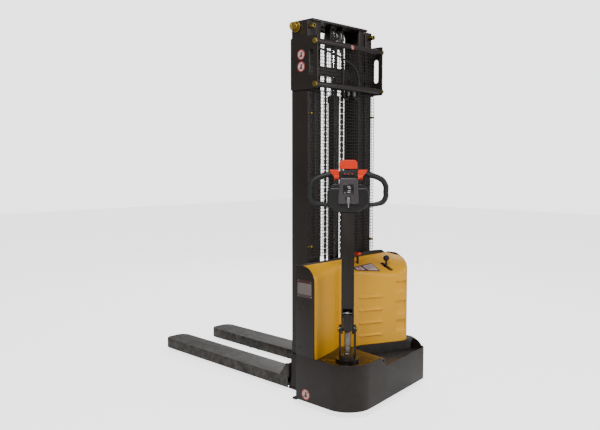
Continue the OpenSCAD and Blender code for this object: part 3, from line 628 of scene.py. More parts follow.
# ---- repeated things, made by Geometry Nodes ----
def repeated(name, maker, bm, finish, **values):
    """A plain mesh that a tree makes from a bmesh's points or edges, with the values as the tree's inputs."""
    tree = shared(maker)
    obj = object_of(name, bm)
    modifier = obj.modifiers.new("Repeat", "NODES")
    modifier.node_group = tree
    values["material"] = surface(finish)
    for item in tree.interface.items_tree:
        key = item.name.lower().replace(" ", "_")
        if item.item_type == "SOCKET" and item.in_out == "INPUT" and key in values:
            modifier[item.identifier] = values[key]
    return settle(obj)


def geometry_group(name, given):
    return group(name, {"Geometry": "Geometry", "Material": "Material", **given}, {"Geometry": "Geometry"},
                 "GeometryNodeTree")


def join(tree, *parts):
    both = add(tree, "GeometryNodeJoinGeometry")
    for part in parts:
        tree.links.new(part.outputs[0], both.inputs[0])
    return both.outputs[0]


def closing(tree, out, geometry_socket, material_socket):
    """Ends a tree: the instances become real and get their material."""
    real = add(tree, "GeometryNodeRealizeInstances", {"Geometry": geometry_socket})
    painted = add(tree, "GeometryNodeSetMaterial", {"Geometry": real.outputs[0], "Material": material_socket})
    tree.links.new(painted.outputs[0], out["Geometry"])
    return tree


def wire_panel():
    """A welded panel of upright and level wires in the XZ plane, its lower left corner at the start."""
    tree, given, out = geometry_group("Wire panel", {
        "Start": "Vector", "Width": 0.5, "Height": 1.0, "Upright wires": 30, "Level wires": 60,
        "Wire diameter": 0.003})
    radius = times(tree, given["Wire diameter"], 0.5)
    parts = []
    for count, reach, across, along_wire, along_row, turn, aside in (
            ("Upright wires", "Height", "Width", "Z", "X", (0, 0, 0), 0.42),
            ("Level wires", "Width", "Height", "X", "Z", (0, math.pi / 2, 0), -0.42)):
        step = maths(tree, "DIVIDE", given[across], maths(tree, "SUBTRACT", given[count], 1.0))
        offset = vector(tree, **{along_wire: times(tree, given[reach], 0.5),
                                 "Y": times(tree, given["Wire diameter"], aside)})
        line = add(tree, "GeometryNodeMeshLine", {
            "Count": given[count], "Start Location": vector_sum(tree, given["Start"], offset),
            "Offset": vector(tree, **{along_row: step})}, mode="OFFSET", count_mode="TOTAL")
        wire = add(tree, "GeometryNodeMeshCylinder", {
            "Vertices": 8, "Radius": radius, "Depth": given[reach]}, fill_type="TRIANGLE_FAN")
        parts.append(add(tree, "GeometryNodeInstanceOnPoints", {
            "Points": line.outputs[0], "Instance": wire.outputs[0], "Rotation": turn}))
    return closing(tree, out, join(tree, *parts), given["Material"])


def heads_on_points():
    """A domed screw or rivet head on a washer at each point, all turned the same way."""
    tree, given, out = geometry_group("Heads on points", {"Radius": 0.004, "Rise": 0.5, "Turn": "Vector"})
    dome = add(tree, "GeometryNodeMeshUVSphere", {"Segments": 20, "Rings": 10, "Radius": given["Radius"]})
    flat = add(tree, "GeometryNodeTransform", {
        "Geometry": dome.outputs[0], "Scale": vector(tree, X=1.0, Y=1.0, Z=given["Rise"])})
    washer = add(tree, "GeometryNodeMeshCylinder", {
        "Vertices": 24, "Radius": times(tree, given["Radius"], 1.35),
        "Depth": times(tree, given["Radius"], 0.3)})
    placed_heads = add(tree, "GeometryNodeInstanceOnPoints", {
        "Points": given["Geometry"], "Instance": join(tree, flat, washer), "Rotation": given["Turn"]})
    return closing(tree, out, placed_heads.outputs[0], given["Material"])


def leaf_chain():
    """Leaf chain laid along a line of edges: pins with plates between them, set in turn wide and narrow."""
    tree, given, out = geometry_group("Leaf chain", {
        "Pitch": 0.0159, "Plate height": 0.0094, "Plate thickness": 0.0021, "Chain width": 0.018})
    path = add(tree, "GeometryNodeMeshToCurve", {0: given["Geometry"]})
    points = add(tree, "GeometryNodeResampleCurve", {"Curve": path.outputs[0], "Length": given["Pitch"]},
                 mode="LENGTH")
    facing_on = add(tree, "FunctionNodeAlignRotationToVector", {
        "Vector": add(tree, "GeometryNodeInputTangent").outputs[0]}, axis="Z", pivot_axis="X")
    sideways = (0, math.pi / 2, 0)
    pin = add(tree, "GeometryNodeMeshCylinder", {
        "Vertices": 10, "Radius": times(tree, given["Plate height"], 0.29), "Depth": given["Chain width"]})
    turned_pin = add(tree, "GeometryNodeTransform", {"Geometry": pin.outputs[0], "Rotation": sideways})
    bar = add(tree, "GeometryNodeMeshCube", {"Size": vector(
        tree, X=given["Plate thickness"], Y=times(tree, given["Plate height"], 0.72), Z=given["Pitch"])})
    eye = add(tree, "GeometryNodeMeshCylinder", {
        "Vertices": 12, "Radius": times(tree, given["Plate height"], 0.5), "Depth": given["Plate thickness"]})
    half = times(tree, given["Pitch"], 0.5)
    eyes = [add(tree, "GeometryNodeTransform", {
        "Geometry": eye.outputs[0], "Rotation": sideways,
        "Translation": vector(tree, Z=times(tree, half, sign))}) for sign in (-1.0, 1.0)]
    plate = join(tree, bar, *eyes)
    odd = maths(tree, "MODULO", add(tree, "GeometryNodeInputIndex").outputs[0], 2.0)
    even = maths(tree, "SUBTRACT", 1.0, odd)
    links = [add(tree, "GeometryNodeInstanceOnPoints", {
        "Points": points.outputs[0], "Instance": turned_pin.outputs[0], "Rotation": facing_on.outputs[0]})]
    for share, parity in ((0.42, odd), (-0.42, odd), (0.0, odd), (0.21, even), (-0.21, even)):
        where = vector(tree, X=times(tree, given["Chain width"], share), Z=half)
        one = add(tree, "GeometryNodeTransform", {"Geometry": plate, "Translation": where})
        links.append(add(tree, "GeometryNodeInstanceOnPoints", {
            "Points": points.outputs[0], "Selection": parity, "Instance": one.outputs[0],
            "Rotation": facing_on.outputs[0]}))
    return closing(tree, out, join(tree, *links), given["Material"])


FACING_LEFT = (0, -math.pi / 2, 0)


def heads(name, spots, finish, radius, turn=(0, 0, 0), rise=0.5):
    """Screw or rivet heads of one radius in millimetres, all facing the same way."""
    bm = bmesh.new()
    for spot in spots:
        bm.verts.new(spot)
    finished(repeated(name, heads_on_points, bm, finish, radius=radius * MM, rise=rise, turn=turn),
             "truck", finish)


# ---- chassis, mast, forks and wheels ----
FIGURE_RADIUS = 27


def pictogram(name, spot, direction, radius):
    """A round generic prohibition sign: a pale disc with a red ring and a bar across it."""
    place = facing(spot, direction)
    piece(name + "_disc", moved(disc(radius, 0.05, 0.7), place), "truck", "label white", "plate_grey",
          replaces="side_plates")
    ring = moved(disc(radius, 0.8, 1.3, hole=radius - 5), place)
    bar = moved(slab(rectangle(4 - radius, radius - 4, -2.2, 2.2, 0.5, 2), 0.8, 1.3, "XY"),
                place @ Matrix.Rotation(math.radians(45), 4, "Z"))
    figure = joined(slab(taper(9, -13, 6, 4, 3, 3), 0.8, 1.1, "XY"),
                    slab(circle(0, 9.5, 4.6, 20), 0.8, 1.1, "XY"))
    figure = moved(figure, place @ Matrix.Scale(radius / FIGURE_RADIUS, 4))
    piece(name + "_ring", joined(ring, bar), "truck", "label red", "plate_grey")
    piece(name + "_figure", figure, "truck", "label dark", "plate_grey")


PLATE_REAR, PLATE_FRONT, PLATE_FOOT, PLATE_HEAD = -191, -87, 589, 680
PLATE_BAND = 16


def rating_plate():
    """The data plate on the side panel: a grey field between two dark bands, held by four rivets."""
    rear, front = PLATE_REAR + MAST_DATUM / MM, PLATE_FRONT + MAST_DATUM / MM
    plate = slab(rectangle(rear, front, PLATE_FOOT, PLATE_HEAD, 4), SIDE_FACE - 0.1, SIDE_FACE - 0.7, "YZ")
    piece("rating_plate", plate, "truck", "label dark", "plate_grey", edge=0.2, segments=2)
    field = slab(rectangle(rear + 2, front - 2, PLATE_FOOT + PLATE_BAND, PLATE_HEAD - PLATE_BAND, 2),
                 SIDE_FACE - 0.7, SIDE_FACE - 0.9, "YZ")
    piece("rating_plate_field", field, "truck", "printed plate", "plate_grey")
    spots = [at_mast(SIDE_FACE - 0.1, y, z) for y in (PLATE_REAR + 6, PLATE_FRONT - 6)
             for z in (PLATE_FOOT + 6, PLATE_HEAD - 6)]
    heads("rating_plate_rivets", spots, "ground steel", 2.6, FACING_LEFT)


def chassis():
    soften(("chassis_skirt", 2.2, 3, "chassis paint"),
           ("side_panels", 2.0, 3, "chassis paint"),
           ("rear_bulkhead mast_foot", 1.5, 2, "chassis paint"),
           ("leg_left leg_right", 4.0, 3, "chassis paint"),
           ("deck_plates", 0.8, 2, "gloss deck paint"),
           ("load_axles", 1.0, 2, "ground steel"),
           ("battery", 5.0, 3, "battery case"),
           ("pump_unit motor_controller", 1.2, 2, "cast metal"))
    rating_plate()
    pictogram("floor_sign", at_mast(SIDE_FACE, -148, 75), (-1, 0, 0), 29)
    for name, height in (("upper_sign", 1859), ("lower_sign", 1796)):
        pictogram(name, at_mast(low("head_plates").x / MM, 0, height), (-1, 0, 0), 27)
    tube_front = low("tie_tubes").y
    pictogram("tube_sign", Vector((4 * MM, tube_front + 0.2 * MM, 1915.5 * MM)), (0, -1, 0), 13)
    heads("side_panel_screws", [at_mast(SIDE_FACE, -98, z) for z in (318, 520, 706)], "chassis paint",
          5.0, FACING_LEFT, 0.24)
    deck = high("deck_plates").z / MM
    deck_spots = [at_mast(x, y, deck) for x, y in ((-340, -230), (-190, -225), (-175, -405), (-330, -395))]
    heads("deck_screws", deck_spots, "yellow zinc", 4.5, rise=0.45)


def mast():
    soften(("outer_mast_left outer_mast_right inner_mast_left inner_mast_right", 2.6, 3, "mast paint"),
           ("outer_crossbeams", 1.6, 3, "mast paint"),
           ("head_plates", 2.2, 3, "mast paint"),
           ("tie_tubes", 1.4, 3, "mast paint"),
           ("inner_crossbeams", 2.0, 3, "mast paint"),
           ("carriage_frame", 2.4, 3, "mast paint"),
           ("sheave_bracket", 1.5, 3, "mast paint"),
           ("cylinder_barrel", 1.6, 3, "mast paint"),
           ("cylinder_rod", 1.0, 2, "hard chrome"),
           ("wear_pads", 1.0, 2, "natural nylon"),
           ("chain_sheaves inner_rollers carriage_rollers_low carriage_rollers_high", 1.0, 2, "ground steel"),
           ("lifting_eyes", 2.6, 3, "yellow zinc"),
           ("zinc_fasteners", 1.6, 3, "yellow zinc"))


def forks():
    soften(("fork_left fork_right", 2.8, 3, "fork paint"),
           ("load_roller_left_rear load_roller_left_front load_roller_right_rear load_roller_right_front",
            4.0, 4, "cast nylon"))


def wheels():
    soften(("drive_tyre", 9.0, 5, "cast polyurethane"),
           ("caster_wheel", 8.0, 5, "dark wheel compound"),
           ("drive_hub drive_yoke", 2.0, 2, "cast metal"),
           ("caster_fork", 1.5, 2, "ground steel"))


def guard():
    """The welded wire panel, wide below the head plates and narrower between them."""
    diameter, pitch = settings().wire_diameter, settings().wire_pitch
    near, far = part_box("mesh_guard")
    plates = low("head_plates")
    step_height, narrow = plates.z - 4 * MM, plates.x + 9 * MM
    for name, side, bottom, top in (("guard_wires_low", near.x, near.z, step_height),
                                    ("guard_wires_high", narrow, step_height, far.z)):
        side += diameter
        width, height = -2 * side, top - bottom - diameter
        wires = repeated(name, wire_panel, None, "guard wire paint", width=width, height=height,
                         start=(side, (near.y + far.y) / 2, bottom + diameter / 2), wire_diameter=diameter,
                         upright_wires=round(width / pitch) + 1, level_wires=round(height / pitch) + 1)
        finished(wires, "truck", "guard wire paint", replaces="mesh_guard")


# ---- chains and hoses ----
CHAIN_RADIUS = 36 * MM
CHAIN_OFFSET = 30 * MM
ANCHOR_DEPTH = 10 * MM
TURN_STEPS = 24


def two_chains(name, route):
    """Both chains along a route in the YZ plane."""
    bm = bmesh.new()
    for side in (-CHAIN_OFFSET, CHAIN_OFFSET):
        verts = [bm.verts.new((side, y, z)) for y, z in route]
        for one, two in zip(verts, verts[1:]):
            bm.edges.new((one, two))
    links = repeated(name, leaf_chain, bm, "oiled chain steel", pitch=settings().link_pitch)
    return finished(links, None, "oiled chain steel", replaces="lift_chains")


def chains():
    """Two straight legs, and the turn over the chain wheels that rides on the inner mast."""
    near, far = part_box("chain_sheaves")
    centre = (near + far) / 2
    front, rear, top = centre.y + CHAIN_RADIUS, centre.y - CHAIN_RADIUS, centre.z
    foot, anchor = high("carriage_frame").z, low("lift_chains").z
    leg = two_chains("chain_front_legs", [(front, foot), (front, top)])
    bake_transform(leg)
    leg = two_chains("chain_rear_legs", [(rear, anchor - ANCHOR_DEPTH), (rear, top)])
    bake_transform(leg)
    angles = [math.pi * k / TURN_STEPS for k in range(TURN_STEPS + 1)]
    arc = [(centre.y + CHAIN_RADIUS * math.cos(a), top + CHAIN_RADIUS * math.sin(a)) for a in angles]
    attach(two_chains("chain_over_wheels", arc), "inner_mast")


HOSE_RADIUS = 5.4 * MM
HOSE_ROUTES = (
    (-70, ((-267, 1925), (-170, 1935), (-60, 1915), (-22, 1860), (-14, 1790), (-16, 1700), (-4, 1644),
           (22, 1642), (32, 1684))),
    (-83, ((-267, 1895), (-150, 1880), (-50, 1860), (60, 1820), (100, 1760), (104, 1690), (92, 1648),
           (70, 1646), (62, 1684))))


def hoses():
    """The two lift hoses between their ferrules, and the block that they end in."""
    bores, ferrules = [], []
    for depth, route in HOSE_ROUTES:
        path = flowing([at_mast(x, depth, z) for x, z in route])
        bores.append(tube(path, [HOSE_RADIUS] * len(path), 14))
        for spot, toward in ((path[0], path[1]), (path[-1], path[-2])):
            sleeve = lathe([(0, 0), (7.4, 0), (7.8, 1.5), (7.8, 20), (6.9, 22), (6.9, 25), (5.6, 27),
                            (0, 27)], 24)
            ferrules.append(moved(sleeve, facing(spot, toward - spot)))
    piece("lift_hoses", joined(*bores), "truck", "hose rubber", "hose_rubber", replaces="hydraulic_hoses")
    piece("hose_ferrules", joined(*ferrules), "truck", "cast metal", "motor_grey")
    block = slab(rectangle(10, 84, 1684, 1712, 2), -89.9 + MAST_DATUM / MM, -64 + MAST_DATUM / MM)
    piece("hose_block", block, "truck", "mast paint", "motor_grey", edge=1.5)


# ---- cover, in millimetres from the mast's datum ----
def along(table, x):
    """A smooth curve through a table of (x, value), read at x."""
    if x <= table[0][0]:
        return table[0][1]
    if x >= table[-1][0]:
        return table[-1][1]
    i = next(k for k in range(len(table) - 1) if table[k + 1][0] >= x)

    def slope(k):
        if k <= 0 or k >= len(table) - 1:
            k = min(max(k, 1), len(table) - 1)
            return (table[k][1] - table[k - 1][1]) / (table[k][0] - table[k - 1][0])
        return (table[k + 1][1] - table[k - 1][1]) / (table[k + 1][0] - table[k - 1][0])

    (x0, v0), (x1, v1) = table[i], table[i + 1]
    span = x1 - x0
    t = (x - x0) / span
    return ((2 * t ** 3 - 3 * t * t + 1) * v0 + (t ** 3 - 2 * t * t + t) * span * slope(i)
            + (3 * t * t - 2 * t ** 3) * v1 + (t ** 3 - t * t) * span * slope(i + 1))


COVER_SIDE = 386
COVER_FRONT = -85
COVER_OUTLINE = (
    (-COVER_SIDE, COVER_FRONT, 0), (-COVER_SIDE, -204, 20), (-272, -173, 60), (-158, -143, 60),
    (-84, -113, 26), (-40, -172, 22), (18, -178, 60), (254, -285, 70), (301, -293, 40), (340, -257, 60),
    (COVER_SIDE, -194, 90), (COVER_SIDE, COVER_FRONT, 0))
FRONT_HEIGHTS = ((-386, 743), (-126, 742), (0, 739), (72, 735), (147, 738), (225, 747), (300, 751),
                 (386, 750))
REAR_DEPTHS = ((-386, -210), (0, -190), (225, -275), (386, -330))
REAR_HEIGHTS = ((-386, 697), (-200, 688), (0, 674), (120, 662), (225, 656), (300, 690), (386, 730))


def straight(table, x):
    """Reads a table of (x, value) along straight lines."""
    for (x0, v0), (x1, v1) in zip(table, table[1:]):
        if x <= x1:
            return v0 + (v1 - v0) * (x - x0) / (x1 - x0)
    return table[-1][1]


def roof_height(x, y):
    """Height of the cover's top in millimetres, sloping from the bulkhead down to the rear edge."""
    share = (COVER_FRONT - y) / (COVER_FRONT - straight(REAR_DEPTHS, x))
    return along(FRONT_HEIGHTS, x) * (1 - share) + along(REAR_HEIGHTS, x) * share


def smooth_step(value, low_end, high_end):
    t = min(max((value - low_end) / (high_end - low_end), 0), 1)
    return t * t * (3 - 2 * t)


def plateau(value, start, end, rise, fall):
    """1 between start and end, and 0 outside, easing up over rise and down over fall."""
    return smooth_step(value, start, start + rise) * (1 - smooth_step(value, end - fall, end))


RIBS = (318, 390, 462, 535)
SCOOPS = ((319, 390), (426, 500), (540, 612))
SCOOP_DEPTH = 10.0
WALL_TOP = 616
SHOULDER, SHOULDER_STEPS = 20, 8


def wall_relief(x, y, z):
    """How far the cover's wall stands out at a point: ribs on the rear face, scoops round the corner."""
    on_face = plateau(x, 6, 147, 8, 8) if y < -170 else 0.0
    round_corner = plateau(x, 222, 292, 5, 6) if y < -240 else 0.0
    return (settings().rib_height / MM * on_face * sum(plateau(z, rib - 7, rib + 9, 3, 12) for rib in RIBS)
            - SCOOP_DEPTH * round_corner * sum(plateau(z, bottom, top, 12, 3) for bottom, top in SCOOPS))


def cover_outline():
    """The cover's plan, with extra points on its flat stretches, from the left front to the right front."""
    line = []
    for spot in rounded(COVER_OUTLINE, 0, 12):
        start = line[-1] if line else spot
        parts = max(int((spot - start).length // 5), 1)
        line.extend(start.lerp(spot, k / parts) for k in range(1, parts + 1))
    return line


LEVER_SLOT = (220, -203)
STOP_PLACE = (62, -118)
ROOF_PITCH, LABEL_PITCH = 13, 9


def cover_shell():
    """A wall that follows the plan, a rounded shoulder, and a roof with holes for the lever and the knob."""
    line = cover_outline()
    last = len(line) - 1
    steps = [line[min(i + 1, last)] - line[max(i - 1, 0)] for i in range(last + 1)]
    inward = [Vector((-step.y, step.x)).normalized() for step in steps]
    floor = high("deck_plates").z / MM + 0.5
    fine = {rib + k for rib in RIBS for k in (-7, -6, -5, -4, -3, 0, 3, 6, 9)}
    for bottom, top in SCOOPS:
        fine |= {bottom, bottom + 4, bottom + 8, bottom + 12, top - 3, top - 2, top - 1, top}
    coarse = {z for z in range(int(floor) + 12, WALL_TOP, 14) if all(abs(z - f) > 5 for f in fine)}
    bm = bmesh.new()
    rows = [[bm.verts.new(at_mast(*(p - n * wall_relief(*p, z)), z)) for p, n in zip(line, inward)]
            for z in sorted(fine | coarse | {floor})]
    for share in (0.33, 0.66):
        rows.append([bm.verts.new(at_mast(*p, WALL_TOP + share * (roof_height(*p) - SHOULDER - WALL_TOP)))
                     for p in line])
    for k in range(SHOULDER_STEPS + 1):
        angle = math.pi / 2 * k / SHOULDER_STEPS
        inset = SHOULDER * (1 - math.cos(angle))
        rim = [p + n * inset for p, n in zip(line, inward)]
        for p in rim:
            p.x = min(max(p.x, inset - COVER_SIDE), COVER_SIDE - inset)
        rows.append([bm.verts.new(at_mast(*p, roof_height(*p) - SHOULDER * (1 - math.sin(angle))))
                     for p in rim])
    skin(bm, rows, closed=False)
    roof_faces(bm, rim)
    bmesh.ops.remove_doubles(bm, verts=bm.verts, dist=MERGE_DISTANCE)
    outward(bm)
    if max(bm.faces, key=lambda face: face.calc_center_median().z).normal.z < 0:
        bmesh.ops.reverse_faces(bm, faces=bm.faces)
    return bm


def roof_faces(bm, rim):
    """Fills the roof inside the shoulder with a fine net, leaving the slot and the stem's hole open."""
    x, y = LEVER_SLOT
    loops = [[p for i, p in enumerate(rim) if i == 0 or (p - rim[i - 1]).length > 0.05],
             rectangle(x - 8, x + 8, y - 38, y + 38, 7.9, 8), circle(*STOP_PLACE, 7.4, 24)]
    spots = [Vector((i * ROOF_PITCH, COVER_FRONT - 8 - j * ROOF_PITCH))
             for i in range(-28, 29) for j in range(16)]
    verts, faces = net(loops, spots, ROOF_PITCH * 0.55)
    made = [bm.verts.new(at_mast(*v, roof_height(*v))) for v in verts]
    for face in faces:
        bm.faces.new([made[k] for k in face])
    drop_loose(bm)


def roof_place(x, y):
    """Stands a shape on the cover's roof, its Z along the roof's normal."""
    reach = 8
    slope_x = (roof_height(x + reach, y) - roof_height(x - reach, y)) / (2 * reach)
    slope_y = (roof_height(x, y + reach) - roof_height(x, y - reach)) / (2 * reach)
    normal = Vector((-slope_x, -slope_y, 1)).normalized()
    across = Vector((1, 0, slope_x)).normalized()
    up = normal.cross(across)
    turn = Matrix((across, up, normal)).transposed().to_4x4()
    return Matrix.Translation(at_mast(x, y, roof_height(x, y))) @ turn


def cover():
    obj = object_of("drive_cover_shell", cover_shell())
    wall = obj.modifiers.new("Wall", "SOLIDIFY")
    wall.thickness = 3.2 * MM
    wall.offset = -1
    finished(settle(obj), "truck", "yellow moulded cover", 38, "drive_cover")


def draped(outline, rise0, rise1):
    """A thin plate that lies on the cover's roof, its outline given in plan."""
    (x0, x1), (y0, y1) = [(min(values), max(values)) for values in zip(*outline)]
    across, along_y = [int(size // LABEL_PITCH) + 1 for size in (x1 - x0, y1 - y0)]
    spots = [Vector((x0 + (i + 0.5) * LABEL_PITCH, y0 + (j + 0.5) * LABEL_PITCH))
             for i in range(across) for j in range(along_y)]
    verts, faces = net([outline], [spot for spot in spots if inside(spot, outline)], 3)
    bm = bmesh.new()
    for rise in (rise0, rise1):
        sheet = [bm.verts.new(at_mast(*v, roof_height(*v) + rise)) for v in verts]
        for face in faces:
            bm.faces.new([sheet[k] for k in face])
    bmesh.ops.bridge_loops(bm, edges=[edge for edge in bm.edges if edge.is_boundary])
    drop_loose(bm)
    return outward(bm)


def dash():
    """The label panel in its bezel, the lever in the lip of its slot, and the stop knob."""
    bezel = draped(rounded([(-14, -164), (146, -218), (155, -142), (-14, -142)], 7, 6), -0.6, 1.6)
    piece("dash_bezel", bezel, "truck", "label dark", "dash_label", replaces="dash_panel")
    patches = (("dash_label_left", ((2, -149), (50, -149), (56, -182), (2, -164))),
               ("dash_label_right", ((68, -149), (147, -149), (139, -208), (76, -187))))
    for name, corners in patches:
        piece(name, draped(rounded(corners, 4, 4), 1.6, 2.1), "truck", "label white", "dash_label")
    marks = [draped(rounded([(78, y), (138, y - 3), (138, y - 6), (78, y - 3)], 1, 2), 2.1, 2.4)
             for y in (-156, -166, -176)]
    piece("dash_label_lines", joined(*marks), "truck", "label dark", "dash_label")
    dial = disc(10.5, 2.2, 2.7, 7)
    piece("dash_label_dial", moved(dial, roof_place(28, -160)), "truck", "label red", "dash_label")
    outer = rectangle(-13, 13, -43, 43, 12.9, 10)
    inner = rectangle(-8.6, 8.6, -38.6, 38.6, 8.5, 10)
    piece("lever_slot_lip", moved(band(outer, inner, -0.8, 1.8), roof_place(*LEVER_SLOT)), "truck",
          "black grained plastic", "head_plastic", edge=0.6)
    pivot = Vector(JOINTS["valve_lever_tilt"]["pos_m"])
    hub = moved(disc(11, -13, 13, steps=32), facing(pivot, (1, 0, 0)))
    stem = moved(lathe([(0, 6), (7.2, 6), (6.8, 60), (5.2, 104), (7, 109), (0, 109)], 24),
                 Matrix.Translation(pivot))
    ball_profile = [(0.0, 101.0)] + [(18 * math.sin(a), 119 - 18 * math.cos(a))
                                     for a in (math.pi * k / 20 for k in range(1, 20))] + [(0.0, 137.0)]
    ball = moved(lathe(ball_profile, 36), Matrix.Translation(pivot))
    piece("lever_stem", joined(hub, stem), "lowering_lever", "black grained plastic", "head_plastic",
          edge=0.5)
    piece("lever_ball", ball, "lowering_lever", "black grained plastic", "head_plastic", angle=60,
          replaces="valve_lever")
    near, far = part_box("emergency_stop")
    middle = (near + far) / 2
    base = Matrix.Translation((middle.x, middle.y, 0))
    top = far.z / MM
    piece("stop_knob_stem", moved(disc(6.9, top - 70, top - 16, steps=32), base), "stop_knob",
          "black grained plastic", "control_red")
    dome = lathe([(0, top - 17), (14, top - 17), (15, top - 16), (19, top - 13), (19, top - 7),
                  (17.6, top - 3), (13, top - 0.8), (0, top)], 40)
    piece("stop_knob_cap", moved(dome, base), "stop_knob", "orange-red plastic", "control_red", angle=40,
          replaces="emergency_stop")


# ---- tiller ----
def on_tiller(name, bm, finish, slot, body="tiller", **how):
    """A piece whose shape is given from the steering axis, with Y away from the operator."""
    piece(name, moved(bm, TILLER), body, finish, slot, **how)


def both(maker):
    """A shape and its mirror image across the tiller's middle."""
    return joined(maker(), outward(moved(maker(), Matrix.Scale(-1, 4, (1, 0, 0)))))


SPRING_SETBACK = -30
SHROUD_WIDTH, SHROUD_DEPTH, SHROUD_POWER = 23, 18.4, 8
PANEL_FACE = -49.6


def arm():
    """The arm on its base, with the shroud and collar of its gas spring, the deck ring and the pivot caps."""
    soften(("tiller_arm", 3.0, 3, "mast paint"),
           ("tiller_base", 1.6, 3, "chassis paint"),
           ("gas_spring_tube", 1.4, 2, "spring grey metal"),
           ("gas_spring_rod", 0.8, 2, "spring grey metal"))
    axis = Vector((0, SPRING_SETBACK))
    inner = circle(*axis, 16.6, 56)
    outer = []
    for spot in inner:
        aim = (spot - axis).normalized()
        swell = (abs(aim.x) / SHROUD_WIDTH) ** SHROUD_POWER + (abs(aim.y) / SHROUD_DEPTH) ** SHROUD_POWER
        outer.append(axis + aim / swell ** (1 / SHROUD_POWER))
    on_tiller("gas_spring_shroud", band(outer, inner, 431, 514), "mast paint", "tiller_black",
              "spring_plunger", edge=1.2)
    collar = lathe([(14.2, 352), (15.4, 352), (16, 353), (16, 420), (15.2, 422), (14.2, 422), (14.2, 352)])
    on_tiller("gas_spring_collar", moved(collar, Matrix.Translation((0, SPRING_SETBACK * MM, 0))),
              "spring grey metal", "bright_steel", "spring_body", angle=40)
    ring = lathe([(52, 265.2), (60, 265.2), (61, 267), (61, 279), (59, 281.2), (52, 281.2), (52, 265.2)], 64)
    piece("steering_ring", moved(ring, Matrix.Translation((STEER.x, STEER.y, 0))), "steering",
          "gloss deck paint", "tiller_black", edge=0.6)
    for name, x in (("pivot_cap_left", -44), ("pivot_cap_right", 44)):
        cap = lathe([(0, 0), (12, 0), (12.5, 1), (12.5, 4), (9, 6.5), (0, 7)], 28)
        place = facing(Vector((x, 0, 430)) * MM, (math.copysign(1, x), 0, 0))
        on_tiller(name, moved(cap, place), "yellow zinc", "zinc_yellow", "steering", edge=0.4)


GRIP_DEPTH = 16
GRIP_ROUTE = ((44, 1231), (94, 1228), (140, 1216), (175, 1197), (191, 1167), (191, 1140), (191, 1113),
              (175, 1087), (140, 1076), (90, 1070))


def control_head():
    """The shield-shaped head with its neck, grips and grey pod."""
    shield = slab(rounded(two_halves([(-94, 1163, 12), (-105, 1142, 30), (-107, 1084, 22), (-88, 1059, 22),
                                      (-46, 1036, 26)]), 12), -34, 34)
    on_tiller("head_shield", shield, "black grained plastic", "head_plastic", edge=10, segments=6,
              replaces="control_head")
    brow = slab(rounded(two_halves([(-84, 1150), (-88, 1166), (-70, 1180)]), 9), -30, 32)
    on_tiller("head_brow", brow, "black grained plastic", "head_plastic", edge=5, segments=4)
    neck = slab(rectangle(-45, 45, 1150, 1249.5, 4), -35, 35)
    on_tiller("head_neck", neck, "black grained plastic", "head_plastic", edge=4, segments=4)
    path = flowing([Vector((x, GRIP_DEPTH, z)) * MM for x, z in GRIP_ROUTE])
    count = len(path)
    sizes = [(12.0 + 2.0 * smooth_step(i, 0, 14) - 3.0 * smooth_step(i, count - 22, count - 4)) * MM
             for i in range(count)]
    on_tiller("grip_loops", both(lambda: tube(path, sizes, 24)), "grip rubber", "grip_rubber", angle=60,
              replaces="hand_grips")

    def collar():
        sleeve = lathe([(0, 0), (16.5, 0), (17, 2), (16, 18), (14.4, 21), (0, 21)], 32)
        return moved(sleeve, facing(path[3], path[5] - path[3]))

    on_tiller("grip_collars", both(collar), "black grained plastic", "head_plastic", angle=40)
    pod = slab(taper(53, 1080, 45, 1211, 11, 8), -50, -30)
    on_tiller("control_pod", pod, "grey satin plastic", "panel_grey", edge=6, segments=5,
              replaces="head_panel")
    ridge = band(taper(47, 1086, 40, 1204, 8), taper(44.5, 1088.5, 37.7, 1201.5, 6), 49.5, 51.2)
    on_tiller("pod_ridge", moved(ridge, Matrix.Rotation(math.pi / 2, 4, "X")), "grey satin plastic",
              "panel_grey", edge=0.6)
    window = slab(taper(27, 1129, 26, 1179, 5), -51.6, -49)
    on_tiller("display_window", window, "display window", "panel_grey", edge=0.8)
    bars = [slab(rounded([(x, z), (x + 15, z), (x + 18, z + 4.5), (x + 3, z + 4.5)], 1, 2), -52, -51.4)
            for x, z in ((-8, 1166), (-4, 1158), (-4, 1145), (-7, 1137))]
    bars.append(moved(disc(2.6, 0, 0.5, steps=16), facing(Vector((-18, -51.5, 1137)) * MM, (0, -1, 0))))
    on_tiller("display_bars", joined(*bars), "pale print", "panel_grey")
    ring = lathe([(7.2, 0), (15, 0), (15, 1.4), (13, 3.2), (9, 3.6), (7.2, 2.6), (7.2, 0)], 40)
    on_tiller("key_switch_ring", moved(ring, key_front()), "black grained plastic", "panel_grey", angle=40)


def key_front():
    """Where the key's switch stands on the grey pod."""
    return facing(Vector((0, PANEL_FACE, joint_height("key_turn"))) * MM, (0, -1, 0))


def key():
    """The key in its barrel, with a bow that hangs below the switch."""
    height = joint_height("key_turn")
    barrel = moved(lathe([(0, 0), (6.9, 0), (6.9, 3.4), (6.2, 4.4), (0, 4.4)], 32), key_front())
    shank = slab(rectangle(-3.5, 3.5, height - 4, height + 4, 1.5), -66, -53.5)
    bow = slab(rounded([(-7.8, height + 6), (7.8, height + 6), (8.2, height - 12), (3.6, height - 24),
                        (2.6, height - 44), (-2.2, height - 44), (-3.2, height - 24), (-8.2, height - 12)],
                       2.4, 4), -68.5, -66)
    on_tiller("key_with_barrel", joined(barrel, shank, bow), "ground steel", "bright_steel", "key",
              edge=0.4, replaces="ignition_key")


